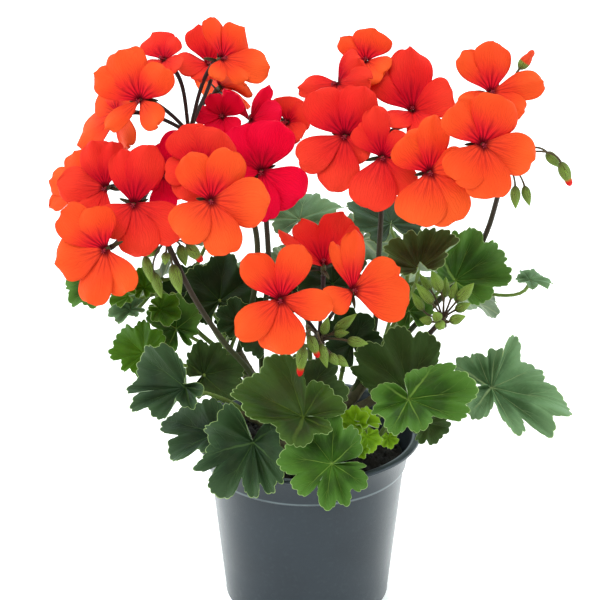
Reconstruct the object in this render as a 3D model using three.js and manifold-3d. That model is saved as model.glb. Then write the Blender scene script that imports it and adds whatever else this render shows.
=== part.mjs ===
// Potted geranium: a flowering pelargonium in a plain 12 cm plastic nursery pot.
// Millimetres, +Z up, origin on the ground at the middle of the pot's base, +X to the
// right and -Y to the front of the plant. Angles are in degrees.
import * as THREE from "three";
import { mergeVertices } from "three/addons/utils/BufferGeometryUtils.js";
import Module from "manifold-3d";

const wasm = await Module();
wasm.setup();

// Driving dimensions of the pot
const RIM_RADIUS = 60;
const POT_HEIGHT = 105;
const LIP_THICKNESS = 1.8;
const COLLAR_TOP_RADIUS = 56;
const COLLAR_HEIGHT = 17.6;
const COLLAR_STEP = 0.6;
const WALL_TOP_RADIUS = 51.3;
const WALL_FOOT_RADIUS = 43.4;
const FOOT_RADIUS = 41.5;
const FOOT_HEIGHT = 11;
const WALL = 1.4;
const BASE = 2;
const DRAIN_HOLES = 4;
const DRAIN_RADIUS = 4;
const DRAIN_CIRCLE = 24;
const FOOT_NOTCHES = 8;
const NOTCH_WIDTH = 9;
const NOTCH_HEIGHT = 5;
const POT_SIDES = 32;

// Driving dimensions of the plant
const SEAT_GAP = 0.3;
const SOIL_TOP = 92;
const SOIL_DOME = 3;
const BRANCH_RADIUS = 3;
const PEDUNCLE_RADIUS = 1.7;
const PEDICEL_RADIUS = 1;
const BUD_STALK_RADIUS = 0.7;
const HUB_RADIUS = 3.2;
const PETIOLE_RADIUS = 1.1;
const BLADE_THICKNESS = 0.9;
const BLADE_SIDES = 14;
const PETAL_THICKNESS = 0.8;
const PETAL_CURL = 0.12;
const PETAL_CORNERS = 5;
const CALYX_LENGTH = 7;
const CALYX_RADIUS = 2.2;

const COLOUR = {
  pot: 0x464c54,
  soil: 0x17130f,
  stem: 0x4c4a32,
  stalk: 0x4a3a33,
  leaf: 0x33561f,
  young: 0x6d9a1e,
  orange: 0xff5a28,
  red: 0xf0301f,
  magenta: 0xe8123a,
};

// Branches of the woody stem, from the crown in the soil outwards
const BRANCHES = {
  trunk: [[0, 0, 78], [0, 0, 92], [0, 0, 104]],
  left: [[0, 0, 98], [-18, -5, 108], [-36, -8, 120]],
  left_high: [[-6, 0, 101], [-24, 10, 118], [-36, 16, 142]],
  left_front: [[0, 0, 94], [-14, -14, 101], [-27, -23, 108]],
  front: [[0, 0, 94], [4, -18, 102], [8, -38, 108]],
  right: [[0, 0, 98], [20, -1, 112], [42, 3, 126]],
  right_high: [[6, 0, 101], [26, 8, 118], [40, 10, 144]],
  right_front: [[0, 0, 94], [18, -14, 102], [37, -21, 110]],
  back: [[0, 0, 98], [0, 20, 110], [2, 38, 124]],
  back_left: [[0, 0, 95], [-17, 17, 108], [-33, 27, 124]],
  back_right: [[0, 0, 95], [17, 17, 108], [33, 28, 124]],
};

// Single leaves: vein hub, facing (azimuth, elevation), midrib angle in the blade's plane,
// radius, shape (cup, fold, droop, basal lobes), branch and how far along it the petiole starts
const LEAVES = {
  leaf_left_wide: [[-61, -36, 146], [-115, 32], 190, 31, [0.1, 0.15, 0.1, 0.45], "left", 0.9],
  leaf_left_inner: [[-54, 4, 134], [-85, 35], 25, 26, [0.12, 0.1, 0.05, 0.5], "left_high", 0.3],
  leaf_left_light: [[-84, -4, 150], [-110, 35], 160, 20, [0.1, 0.1, 0.1, 0.6], "left_high", 0.5],
  leaf_left_upper: [[-68, 12, 157], [-95, 30], 110, 19, [0.12, 0.1, 0, 0.7], "left_high", 0.64],
  leaf_centre_wide: [[-2, -64, 143], [-95, 48], 165, 36, [0.06, 0.08, 0.12, 0.55], "front", 0.75],
  leaf_rim_front: [[12, -69, 120], [-85, 28], 188, 27, [0.05, 0.06, 0.1, 0.8], "front", 1],
  leaf_rim_left: [[-27, -48, 121], [-105, 22], 235, 34, [0.06, 0.2, 0.15, 0.75], "left_front", 1],
  leaf_low_left: [[-47, -26, 115], [-135, 62], 225, 26, [0.1, 0.1, 0.12, 0.4], "left_front", 0.75],
  leaf_centre_dark: [[-1, -39, 143], [-90, 42], 88, 24, [0.05, 0.05, 0.1, 0.8], "front", 0.55],
  leaf_right_wide: [[50, -50, 146], [-82, 48], 3, 35, [0.08, 0.14, 0.1, 0.4], "right_front", 1],
  leaf_right_dark: [[52, -14, 133], [-95, 22], 95, 31, [0.08, 0.08, 0, 0.35], "right_front", 0.7],
  leaf_right_far: [[95, -8, 132], [-82, 56], -12, 41, [0.1, 0.15, 0.15, 0.5], "right", 1],
  leaf_bronze: [[56, -8, 199], [-95, 55], 70, 22, [0.35, 0.1, 0, 0.8], "right_high", 0.6],
  leaf_right_green: [[76, 12, 184], [-75, 28], 35, 30, [0.15, 0.1, 0.05, 0.6], "right_high", 0.75],
  leaf_right_small: [[62, -16, 116], [-80, 20], -20, 13, [0.1, 0.1, 0.1, 0.7], "right_front", 0.85],
};

// Leafy shoots: branch and place on it, stalk points, then the leaves (hub, facing,
// midrib, radius, shape, how far along the stalk the petiole starts)
const SHOOTS = {
  shoot_shade_left: ["back_left", 0.45, [[-37, 20, 126], [-46, 36, 150]], [
    [[-46, 28, 166], [-95, 30], 85, 25, [0.1, 0.1, 0, 0.6], 0.9],
    [[-62, 40, 165], [-110, 35], 130, 18, [0.1, 0.1, 0.05, 0.7], 1],
    [[-35, 42, 149], [-90, 35], 80, 18, [0.1, 0.1, 0, 0.7], 0.7],
    [[-36, 6, 163], [-95, 35], 100, 13, [0.1, 0.1, 0, 0.7], 0.8],
  ]],
  shoot_shade_middle: ["right", 0.35, [[17, 8, 126], [21, 12, 146]], [
    [[23, 2, 153], [-80, 40], 100, 19, [0.1, 0.1, 0, 0.7], 0.7],
    [[13, 5, 185], [-90, 40], 90, 21, [0.1, 0.1, 0, 0.7], 1],
    [[-22, -8, 161], [-100, 35], 110, 16, [0.1, 0.1, 0, 0.7], 0.85],
  ]],
  shoot_left_young: ["left_high", 0.85, [[-54, 21, 148], [-80, 28, 176]], [
    [[-84, 12, 180], [-100, 25], 95, 11, [0.3, 0.2, 0, 0.5], 0.95],
    [[-92, 10, 176], [-130, 45], 180, 11, [0.2, 0.2, 0, 0.5], 0.9],
    [[-76, 2, 172], [-70, 40], -30, 12, [0.2, 0.2, 0, 0.5], 0.98],
    [[-91, 8, 169], [-100, 65], 200, 12, [0.1, 0.3, 0.1, 0.6], 0.96],
  ]],
  shoot_front_lime: ["right_front", 0.55, [[25, -30, 106], [30, -38, 114]], [
    [[24, -45, 130], [-100, 25], 95, 9.5, [0.1, 0.3, 0, 0.6], 0.95],
    [[28, -45, 130], [-85, 70], 8, 9.5, [0.1, 0.45, 0.1, 0.5], 0.9],
    [[30, -47, 124], [-80, 20], 285, 9, [0.15, 0.25, 0.3, 0.5], 0.85],
    [[27, -48, 119], [-100, 25], 235, 7, [0.1, 0.3, 0.1, 0.5], 0.8],
    [[41, -40, 120], [-85, 25], 280, 6, [0.1, 0.3, 0.1, 0.5], 0.85],
  ]],
  shoot_back_left: ["back_left", 1, [[-52, 42, 148], [-60, 52, 172]], [
    [[-78, 50, 170], [160, 35], -60, 24, [0.1, 0.1, 0.1, 0.7], 0.7],
    [[-50, 72, 158], [110, 40], -90, 27, [0.1, 0.1, 0.1, 0.7], 0.5],
    [[-112, 34, 173], [-110, 35], 180, 17, [0.1, 0.1, 0.1, 0.7], 0.9],
    [[-52, 60, 196], [100, 50], -80, 22, [0.1, 0.1, 0.1, 0.7], 1],
  ]],
  shoot_back: ["back", 1, [[0, 46, 155], [-2, 48, 186]], [
    [[-4, 40, 207], [-90, 72], 80, 27, [0.05, 0.1, 0.1, 0.7], 1],
    [[-4, 82, 160], [90, 35], -90, 30, [0.1, 0.1, 0.1, 0.7], 0.4],
    [[30, 76, 182], [70, 40], -60, 26, [0.1, 0.1, 0.1, 0.7], 0.8],
    [[-2, 15, 175], [-90, 35], 80, 17, [0.1, 0.1, 0, 0.7], 0.3],
  ]],
  shoot_back_right: ["back_right", 1, [[50, 42, 150], [54, 44, 180]], [
    [[44, 44, 203], [-90, 70], 100, 27, [0.1, 0.1, 0.05, 0.7], 1],
    [[82, 52, 164], [35, 40], -60, 28, [0.1, 0.1, 0.1, 0.7], 0.6],
    [[50, 80, 150], [80, 30], -90, 27, [0.1, 0.1, 0.1, 0.7], 0.2],
    [[116, 22, 180], [-70, 80], -8, 12.5, [0.05, 0.15, 0.2, 0.6], 0.8],
    [[53, 14, 166], [-80, 35], 95, 15, [0.1, 0.1, 0, 0.7], 0.3],
  ]],
};

// Flowers: throat, facing (azimuth, elevation), lift of the petals out of the face plane,
// colour, then the petals (angle in the face plane, length, width)
const FLOWERS = {
  flower_left_a: [[-81, -15, 290], [-110, 18], 15, "orange",
    [[155, 26, 16], [118, 26, 20], [53, 21, 16], [315, 16, 14], [227, 22, 10]]],
  flower_left_b: [[-70, 2, 305], [-135, 45], 20, "red",
    [[141, 17, 17], [78, 12, 10], [349, 17, 10], [304, 14, 12], [234, 12, 11]]],
  flower_left_c: [[-49, 28, 295], [-95, 50], 35, "red",
    [[110, 21, 17], [83, 17, 11], [198, 20, 16], [302, 18, 9], [256, 18, 10]]],
  flower_left_d: [[-46, -50, 251], [-88, 20], 12, "orange",
    [[119, 24, 17], [63, 26, 18], [356, 27, 23], [287, 27, 18], [226, 23, 20]]],
  flower_left_e: [[-84, -36, 244], [-95, 22], 12, "red",
    [[105, 26, 15], [73, 29, 18], [332, 28, 19], [281, 25, 20], [219, 20, 17]]],
  flower_left_f: [[-99, -18, 246], [-105, 18], 12, "red",
    [[111, 23, 17], [83, 23, 12], [179, 24, 17], [219, 16, 12], [262, 17, 10]]],
  flower_left_g: [[-97, -52, 227], [-105, 15], 15, "orange",
    [[147, 28, 18], [111, 21, 17], [306, 24, 17], [261, 28, 17], [198, 25, 21]]],
  flower_left_h: [[-94, 8, 276], [-140, 10], 15, "orange",
    [[175, 17, 12], [221, 33, 19], [116, 13, 13], [37, 15, 10], [317, 20, 18]]],
  flower_left_i: [[-112, 0, 241], [-130, 15], 12, "orange",
    [[186, 22, 14], [218, 24, 10], [118, 17, 18], [286, 15, 16], [45, 18, 12]]],
  flower_left_j: [[-71, -12, 250], [-80, 30], 15, "magenta",
    [[56, 24, 19], [96, 15, 12], [325, 15, 14], [265, 18, 13], [202, 10, 9]]],
  flower_left_k: [[-42, 4, 305], [-50, 35], 20, "orange",
    [[90, 21, 13], [33, 20, 17], [330, 25, 17], [294, 16, 11], [226, 14, 9]]],
  flower_left_l: [[-45, 65, 272], [40, 30], 15, "orange",
    [[165, 22, 17], [115, 22, 16], [350, 29, 22], [300, 22, 18], [225, 18, 18]]],
  flower_left_m: [[-51, -30, 260], [-88, 28], 15, "red",
    [[116, 22, 21], [62, 20, 22], [332, 18, 14], [235, 18, 16], [185, 18, 14]]],
  flower_back_a: [[-23, -5, 250], [-90, 15], 12, "magenta",
    [[121, 25, 16], [73, 25, 23], [326, 24, 23], [279, 25, 14], [185, 12, 9]]],
  flower_back_b: [[-29, 32, 264], [-100, 60], 25, "magenta",
    [[138, 22, 8], [70, 21, 8], [12, 17, 17], [306, 26, 14], [265, 23, 13]]],
  flower_back_c: [[-10, 32, 263], [-115, 35], 20, "red",
    [[92, 13, 18], [29, 12, 14], [321, 13, 12], [272, 14, 14], [224, 12, 13]]],
  flower_back_d: [[-43, 26, 268], [-100, 40], 20, "magenta",
    [[182, 14, 10], [53, 13, 12], [244, 12, 11], [319, 12, 10], [125, 13, 9]]],
  flower_right_a: [[18, -22, 274], [-98, 20], 12, "red",
    [[129, 26, 20], [70, 25, 18], [315, 15, 14], [264, 27, 20], [214, 26, 17]]],
  flower_right_b: [[36, -30, 266], [-90, 20], 12, "red",
    [[101, 24, 13], [129, 19, 12], [255, 26, 22], [308, 21, 15], [38, 15, 13]]],
  flower_right_c: [[58, -46, 264], [-88, 20], 12, "orange",
    [[128, 21, 21], [83, 26, 15], [256, 26, 23], [300, 27, 21], [8, 18, 20]]],
  flower_right_d: [[82, -52, 280], [-80, 20], 12, "orange",
    [[127, 23, 20], [63, 24, 23], [229, 22, 20], [273, 26, 21], [342, 26, 19]]],
  flower_right_e: [[90, 0, 289], [-80, 35], 15, "orange",
    [[80, 25, 18], [120, 24, 16], [7, 27, 14], [322, 19, 12], [205, 19, 12]]],
  flower_right_f: [[52, 5, 278], [-95, 55], 30, "red",
    [[95, 34, 21], [141, 29, 19], [19, 23, 21], [294, 26, 16], [231, 20, 15]]],
  flower_right_g: [[29, 20, 299], [-95, 50], 25, "orange",
    [[76, 17, 19], [141, 17, 12], [226, 14, 12], [323, 14, 15], [282, 18, 14]]],
  flower_right_h: [[15, 12, 290], [-140, 20], 15, "red",
    [[199, 25, 11], [48, 20, 17], [16, 26, 13], [308, 14, 13], [248, 13, 12]]],
  flower_low_a: [[-13, -62, 205], [-92, 20], 12, "orange",
    [[128, 26, 16], [71, 27, 16], [351, 25, 15], [272, 26, 22], [220, 27, 16]]],
  flower_low_b: [[22, -51, 205], [-75, 35], 15, "orange",
    [[84, 29, 12], [108, 25, 8], [20, 25, 17], [343, 28, 22], [204, 15, 15]]],
  flower_low_c: [[8, -15, 204], [-90, 75], 45, "red",
    [[171, 30, 13], [124, 27, 16], [61, 30, 20], [20, 27, 18], [200, 24, 16]]],
};

// Flower stalks: branch and place on it, points up to the hub (last), the flowers that it
// carries, then its closed buds (middle, direction of the tip, length, radius)
const STALKS = {
  stalk_left: ["left_high", 1, [[-27, 14, 180], [-27, 12, 215], [-42, 12, 245], [-59, 10, 264]],
    ["flower_left_a", "flower_left_b", "flower_left_c", "flower_left_d", "flower_left_e",
      "flower_left_f", "flower_left_g", "flower_left_h", "flower_left_i", "flower_left_j",
      "flower_left_k", "flower_left_l", "flower_left_m"],
    []],
  stalk_back: ["back_left", 0.7, [[-24, 20, 150], [-20, 17, 185], [-21, 18, 215], [-24, 25, 245]],
    ["flower_back_a", "flower_back_b", "flower_back_c", "flower_back_d"],
    []],
  stalk_right_inner: ["right_high", 0.45, [[34, 12, 150], [37, 13, 204], [39, 15, 262]],
    ["flower_right_a", "flower_right_b", "flower_right_c", "flower_right_f", "flower_right_g",
      "flower_right_h"],
    []],
  stalk_right_outer: ["back_right", 0.8, [[48, 24, 143], [62, 20, 162], [84, 26, 185], [93, 27, 205], [97, 20, 226], [99, 4, 254]],
    ["flower_right_d", "flower_right_e"],
    [[[104, -2, 235], [-75, -80], 12, 2.5], [[110, 0, 235], [-20, -73], 11, 2.3],
      [[129, 2, 246], [0, -66], 14, 2.9], [[123, 6, 252], [0, -49], 11, 2.6],
      [[108, 12, 302], [0, 55], 12, 2.8]]],
  stalk_low: ["front", 0.35, [[4, -11, 125], [5, -13, 145], [6, -20, 166]],
    ["flower_low_a", "flower_low_b", "flower_low_c"],
    [[[-3, -54, 169], [180, -84], 17, 2.8], [[3, -48, 174], [0, -69], 13, 2.6],
      [[8, -46, 168], [0, -76], 14, 2.5], [[13, -44, 165], [0, -53], 8, 2.4],
      [[17, -42, 163], [0, -40], 9, 2.4], [[9, -30, 177], [0, 75], 10, 2.3],
      [[19, -26, 177], [0, 41], 15, 2.7], [[17, -30, 173], [0, 8], 8, 2],
      [[25, -34, 170], [0, -10], 11, 2.6]]],
  stalk_green_buds: ["right", 0.8, [[46, 5, 140], [62, 1, 158], [69, -7, 171]],
    [],
    [[[59, -12, 187], [180, 52], 15, 2.6], [[56, -8, 181], [180, 59], 12, 2.3],
      [[60, -2, 189], [180, 56], 11, 2.2], [[65, -10, 193], [180, 67], 13, 3],
      [[70, -4, 187], [0, 87], 12, 2.3], [[74, -8, 187], [0, 75], 10, 2.2],
      [[80, -10, 187], [0, 50], 13, 3], [[79, -8, 178], [0, 27], 9, 2.5],
      [[76, -14, 174], [0, 20], 9, 2.6], [[65, -20, 178], [180, 60], 6, 2.6],
      [[67, -20, 173], [-90, 10], 6, 2.6], [[60, -14, 173], [180, 12], 7, 2.4]]],
  stalk_hanging_buds: ["left", 0.5, [[-29, -9, 141], [-42, -13, 160], [-57, -19, 188], [-70, -20, 219]],
    [],
    [[[-79, -24, 205], [0, -80], 15, 2.5], [[-75, -18, 194], [0, -76], 15, 2.6],
      [[-65, -25, 200], [0, -77], 17, 3.1], [[-70, -27, 212], [180, -84], 7, 2.2],
      [[-62, -18, 210], [0, -77], 12, 2.7], [[-56, -22, 213], [0, -51], 12, 3],
      [[-77, -16, 211], [180, -38], 9, 2.2]]],
};

// Shapes of blades and petals

// A sphere of three bands has its two rings at this distance from the axis: blades and
// corollas are such spheres pressed flat, with the rings as their edge
const RING_REACH = Math.sin(Math.PI / 3);

const radians = THREE.MathUtils.degToRad;
const point = ([x, y, z]) => new THREE.Vector3(x, y, z);

// Directions of a face as seen from in front of it: right, up and out of the face
function faceFrame([azimuth, elevation]) {
  const a = radians(azimuth);
  const e = radians(elevation);
  const out = new THREE.Vector3(Math.cos(e) * Math.cos(a), Math.cos(e) * Math.sin(a), Math.sin(e));
  const right = new THREE.Vector3(0, 0, 1).cross(out).normalize();
  const up = out.clone().cross(right);
  return { right, up, out };
}

// Moves every vertex of a geometry through a function of its place
function reshape(geometry, place) {
  const vertices = geometry.attributes.position;
  for (let i = 0; i < vertices.count; i += 1) {
    const moved = place(vertices.getX(i), vertices.getY(i), vertices.getZ(i));
    vertices.setXYZ(i, moved.x, moved.y, moved.z);
  }
  return geometry;
}

function solidOf(geometry) {
  geometry.deleteAttribute("normal");
  geometry.deleteAttribute("uv");
  const merged = mergeVertices(geometry, 1e-4);
  const corners = merged.index.array;
  const kept = [];
  for (let i = 0; i < corners.length; i += 3) {
    const [a, b, c] = corners.slice(i, i + 3);
    if (a !== b && b !== c && c !== a) {
      kept.push(a, b, c);
    }
  }
  return new wasm.Manifold(new wasm.Mesh({
    numProp: 3,
    vertProperties: merged.attributes.position.array,
    triVerts: new Uint32Array(kept),
  }));
}

function geometryOf(solid) {
  const mesh = solid.getMesh();
  const geometry = new THREE.BufferGeometry();
  geometry.setAttribute("position", new THREE.BufferAttribute(mesh.vertProperties, 3));
  geometry.setIndex(new THREE.BufferAttribute(mesh.triVerts, 1));
  geometry.computeVertexNormals();
  return geometry;
}

// The largest separate body of a solid, which drops slivers that a cut leaves behind
function mainBody(solid) {
  return solid.decompose().reduce((best, body) => (body.volume() > best.volume() ? body : best));
}

// A closed round rod along a curve whose radius runs from one end to the other
function rod(curve, startRadius, endRadius, segments, sides) {
  const frames = curve.computeFrenetFrames(segments);
  const cylinder = new THREE.CylinderGeometry(1, 1, 1, sides, segments);
  return solidOf(reshape(cylinder, (x, y, z) => {
    const along = y + 0.5;
    const step = Math.round(along * segments);
    const radius = THREE.MathUtils.lerp(startRadius, endRadius, along);
    return curve.getPoint(along)
      .addScaledVector(frames.normals[step], x * radius)
      .addScaledVector(frames.binormals[step], -z * radius);
  }));
}

// Edge of a leaf around its vein hub: an oval, short at the basal lobes, with shallow lobes
// and the notch where the petiole comes in
function leafEdge(turn, basal) {
  const oval = (1 + basal) / 2 + ((1 - basal) / 2) * Math.cos(turn);
  const lobes = oval * (1 + 0.06 * Math.cos(7.2 * turn));
  const notch = Math.exp(-(((Math.PI - Math.abs(turn)) / 0.32) ** 2));
  return lobes * (1 - 0.75 * notch);
}

function leafBlade(hub, facing, midrib, radius, [cup, fold, droop, basal]) {
  const { right, up, out } = faceFrame(facing);
  const turnTo = radians(midrib);
  const along = right.clone().multiplyScalar(Math.cos(turnTo)).addScaledVector(up, Math.sin(turnTo));
  const across = along.clone().cross(out);
  return solidOf(reshape(new THREE.SphereGeometry(1, BLADE_SIDES, 3), (x, y, z) => {
    const reach = Math.hypot(x, z) / RING_REACH;
    const turn = Math.atan2(z, x);
    const r = radius * reach * leafEdge(turn, basal);
    const rise = cup * reach ** 2 + fold * reach * Math.abs(Math.sin(turn));
    const fall = droop * (reach * Math.max(0, Math.cos(turn))) ** 2;
    return point(hub)
      .addScaledVector(along, r * Math.cos(turn))
      .addScaledVector(across, r * Math.sin(turn))
      .addScaledVector(out, radius * (rise - fall) + y * BLADE_THICKNESS / 2);
  }));
}

// A petiole leaves its stem rising and meets the blade square at the vein hub
function petiole(start, hub, facing) {
  const { out } = faceFrame(facing);
  const end = point(hub).addScaledVector(out, -0.1);
  const reach = start.distanceTo(end);
  const rise = end.clone().sub(start).normalize().lerp(new THREE.Vector3(0, 0, 1), 0.35);
  const curve = new THREE.CubicBezierCurve3(
    start,
    start.clone().addScaledVector(rise, 0.35 * reach),
    end.clone().addScaledVector(out, -0.35 * reach),
    end,
  );
  return rod(curve, PETIOLE_RADIUS * 1.15, PETIOLE_RADIUS * 0.9, 4, 4);
}

// Corner of a corolla between one petal and the next: every petal gives five corners, the
// first one in the valley beside it. Returns its angle in degrees and its distance.
function corollaCorner(petals, corner) {
  const count = petals.length;
  const index = Math.floor(corner / PETAL_CORNERS) % count;
  const [angle, length, width] = petals[index];
  const [before, beforeLength] = petals[(index + count - 1) % count];
  const [after] = petals[(index + 1) % count];
  const gapBefore = (angle - before + 360) % 360;
  const gapAfter = (after - angle + 360) % 360;
  const half = THREE.MathUtils.radToDeg(Math.asin(Math.min(0.95, width / (1.6 * length))));
  const left = Math.min(half, 0.47 * gapBefore);
  const right = Math.min(half, 0.47 * gapAfter);
  return [
    [angle - gapBefore / 2, 0.42 * Math.min(length, beforeLength)],
    [angle - left, 0.8 * length],
    [angle - 0.45 * left, 0.98 * length],
    [angle + 0.45 * right, 0.98 * length],
    [angle + right, 0.8 * length],
  ][corner % PETAL_CORNERS];
}

// The five petals, joined at the throat as one thin corolla
function corolla(throat, facing, lift, petals) {
  const { right, up, out } = faceFrame(facing);
  const round = petals.map(([angle, ...size]) => [(angle + 360) % 360, ...size]);
  round.sort((one, other) => one[0] - other[0]);
  const sides = PETAL_CORNERS * petals.length;
  const rise = Math.sin(radians(lift));
  const spread = Math.cos(radians(lift));
  return solidOf(reshape(new THREE.SphereGeometry(1, sides, 3), (x, y, z) => {
    const reach = Math.hypot(x, z) / RING_REACH;
    const turn = (Math.atan2(z, x) + 2 * Math.PI) % (2 * Math.PI);
    const corner = Math.round((turn / (2 * Math.PI)) * sides) % sides;
    const [angle, length] = corollaCorner(round, corner);
    const a = radians(angle);
    const r = length * reach;
    return point(throat)
      .addScaledVector(right, r * spread * Math.cos(a))
      .addScaledVector(up, r * spread * Math.sin(a))
      .addScaledVector(out, r * rise - PETAL_CURL * r * reach - y * PETAL_THICKNESS);
  }));
}

// The calyx is a small cup below the throat, and a pedicel meets it from behind
function calyxFoot(throat, facing) {
  return point(throat).addScaledVector(faceFrame(facing).out, -CALYX_LENGTH);
}

function calyx(throat, facing) {
  return rod(new THREE.LineCurve3(calyxFoot(throat, facing), point(throat)),
    PEDICEL_RADIUS * 1.2, CALYX_RADIUS, 1, 6);
}

function pedicel(hub, throat, facing) {
  const { out } = faceFrame(facing);
  const end = calyxFoot(throat, facing).addScaledVector(out, -SEAT_GAP);
  const reach = hub.distanceTo(end);
  const outward = end.clone().sub(hub).normalize().add(new THREE.Vector3(0, 0, 0.4)).normalize();
  const curve = new THREE.CubicBezierCurve3(
    hub,
    hub.clone().addScaledVector(outward, 0.35 * reach),
    end.clone().addScaledVector(out, -0.35 * reach),
    end,
  );
  return rod(curve, PEDICEL_RADIUS, PEDICEL_RADIUS * 1.15, 3, 4);
}

// A bud is a pointed egg on a thin stalk that bends into the bud's direction
function bud(hub, [middle, direction, length, radius]) {
  const { right, up, out } = faceFrame(direction);
  const egg = solidOf(reshape(new THREE.SphereGeometry(1, 5, 4), (x, y, z) => point(middle)
    .addScaledVector(out, y * length / 2)
    .addScaledVector(right, x * radius)
    .addScaledVector(up, -z * radius)));
  const foot = point(middle).addScaledVector(out, -0.4 * length);
  const reach = hub.distanceTo(foot);
  const curve = new THREE.QuadraticBezierCurve3(hub, foot.clone().addScaledVector(out, -0.4 * reach), foot);
  return egg.add(rod(curve, BUD_STALK_RADIUS, BUD_STALK_RADIUS, 3, 3));
}

// The pot and its soil

function lathe(profile, sides) {
  const outline = profile.map(([r, z]) => new THREE.Vector2(r, z));
  return solidOf(new THREE.LatheGeometry(outline, sides).rotateX(Math.PI / 2));
}

function wallRadius(z) {
  const share = (z - FOOT_HEIGHT) / (POT_HEIGHT - COLLAR_HEIGHT - FOOT_HEIGHT);
  return THREE.MathUtils.lerp(WALL_FOOT_RADIUS, WALL_TOP_RADIUS, share);
}

function potBody() {
  const collarFoot = POT_HEIGHT - COLLAR_HEIGHT;
  const lipFoot = POT_HEIGHT - LIP_THICKNESS;
  const profile = [
    [0, 0],
    [FOOT_RADIUS - 3, 0],
    [FOOT_RADIUS, FOOT_HEIGHT],
    [WALL_FOOT_RADIUS, FOOT_HEIGHT + 0.5],
    [WALL_TOP_RADIUS, collarFoot - COLLAR_STEP],
    [WALL_TOP_RADIUS + COLLAR_STEP, collarFoot],
    [COLLAR_TOP_RADIUS - 2.4, collarFoot + 7],
    [COLLAR_TOP_RADIUS, lipFoot - 0.6],
    [RIM_RADIUS, lipFoot],
    [RIM_RADIUS, POT_HEIGHT - 0.5],
    [RIM_RADIUS - 0.8, POT_HEIGHT],
    [COLLAR_TOP_RADIUS, POT_HEIGHT - 0.4],
    [COLLAR_TOP_RADIUS - 1 - WALL, lipFoot - 3],
    [WALL_TOP_RADIUS - WALL, collarFoot - 2],
    [WALL_FOOT_RADIUS - WALL, FOOT_HEIGHT + BASE],
    [FOOT_RADIUS - WALL, FOOT_HEIGHT],
    [FOOT_RADIUS - 2.5 - WALL, BASE],
    [0, BASE],
  ];
  let body = lathe(profile, POT_SIDES);
  for (let i = 0; i < DRAIN_HOLES; i += 1) {
    const a = (2 * Math.PI * i) / DRAIN_HOLES;
    const hole = new THREE.CylinderGeometry(DRAIN_RADIUS, DRAIN_RADIUS, 4 * BASE, 12).rotateX(Math.PI / 2)
      .translate(DRAIN_CIRCLE * Math.cos(a), DRAIN_CIRCLE * Math.sin(a), 0);
    body = body.subtract(solidOf(hole));
  }
  for (let i = 0; i < FOOT_NOTCHES; i += 1) {
    const notch = new THREE.BoxGeometry(8, NOTCH_WIDTH, 2 * NOTCH_HEIGHT).translate(FOOT_RADIUS - 1.5, 0, 0)
      .rotateZ((2 * Math.PI * (i + 0.5)) / FOOT_NOTCHES);
    body = body.subtract(solidOf(notch));
  }
  return body;
}

function soilBody(stemRoom) {
  const topRadius = THREE.MathUtils.lerp(WALL_TOP_RADIUS, COLLAR_TOP_RADIUS, 0.3) - WALL - 1;
  const profile = [
    [0, BASE + SEAT_GAP],
    [FOOT_RADIUS - 7, BASE + SEAT_GAP],
    [wallRadius(FOOT_HEIGHT) - WALL - 2.5, FOOT_HEIGHT + BASE + 1.5],
    [wallRadius(POT_HEIGHT - COLLAR_HEIGHT) - WALL - 1, POT_HEIGHT - COLLAR_HEIGHT - 3],
    [topRadius, SOIL_TOP - 2],
    [topRadius - 3, SOIL_TOP],
    [0.5 * topRadius, SOIL_TOP + 0.8 * SOIL_DOME],
    [0, SOIL_TOP + SOIL_DOME],
  ];
  return lathe(profile, 24).subtract(stemRoom);
}

// The plant's pieces

const branchCurve = (name) => new THREE.QuadraticBezierCurve3(...BRANCHES[name].map(point));

// The stem, or with extra room around it the space that it takes from its neighbours
function stemBody(extra) {
  const rods = Object.keys(BRANCHES).map((name) => {
    const start = BRANCH_RADIUS * (name === "trunk" ? 1.6 : 1.15) + extra;
    const end = BRANCH_RADIUS * (name === "trunk" ? 1.2 : 0.8) + extra;
    const curve = branchCurve(name);
    curve.v0.addScaledVector(curve.getTangent(0), -extra);
    curve.v2.addScaledVector(curve.getTangent(1), extra);
    return rod(curve, start, end, 3, 6);
  });
  return rods.reduce((whole, next) => whole.add(next));
}

function leafBody(start, [hub, facing, midrib, radius, shape]) {
  return leafBlade(hub, facing, midrib, radius, shape).add(petiole(start, hub, facing));
}

function shootBody([branch, share, points, leaves]) {
  const start = branchCurve(branch).getPoint(share);
  const stalk = new THREE.CatmullRomCurve3([start, ...points.map(point)]);
  let body = rod(stalk, PEDUNCLE_RADIUS, PETIOLE_RADIUS, 5, 5);
  for (const leaf of leaves) {
    body = body.add(leafBody(stalk.getPoint(leaf.at(-1)), leaf));
  }
  return body;
}

function stalkBody([branch, share, points, flowers, buds]) {
  const start = branchCurve(branch).getPoint(share);
  const curve = new THREE.CatmullRomCurve3([start, ...points.map(point)]);
  const hub = point(points.at(-1));
  const knot = new THREE.SphereGeometry(HUB_RADIUS, 6, 4).translate(hub.x, hub.y, hub.z);
  let body = rod(curve, PEDUNCLE_RADIUS * 1.1, PEDUNCLE_RADIUS * 0.95, 2 * points.length + 1, 5)
    .add(solidOf(knot));
  for (const name of flowers) {
    const [throat, facing] = FLOWERS[name];
    body = body.add(pedicel(hub, throat, facing));
  }
  for (const entry of buds) {
    body = body.add(bud(hub, entry));
  }
  return body;
}

function flowerBody([throat, facing, lift, , petals]) {
  return corolla(throat, facing, lift, petals).add(calyx(throat, facing));
}

const potted = new THREE.Group();
potted.name = "potted_geranium";

function addPiece(name, solid, colour, roughness) {
  const material = new THREE.MeshStandardMaterial({ color: colour, roughness, metalness: 0 });
  const mesh = new THREE.Mesh(geometryOf(solid), material);
  mesh.name = name;
  potted.add(mesh);
}

const stemRoom = stemBody(SEAT_GAP);
const offStem = (solid) => mainBody(solid.subtract(stemRoom));

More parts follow.
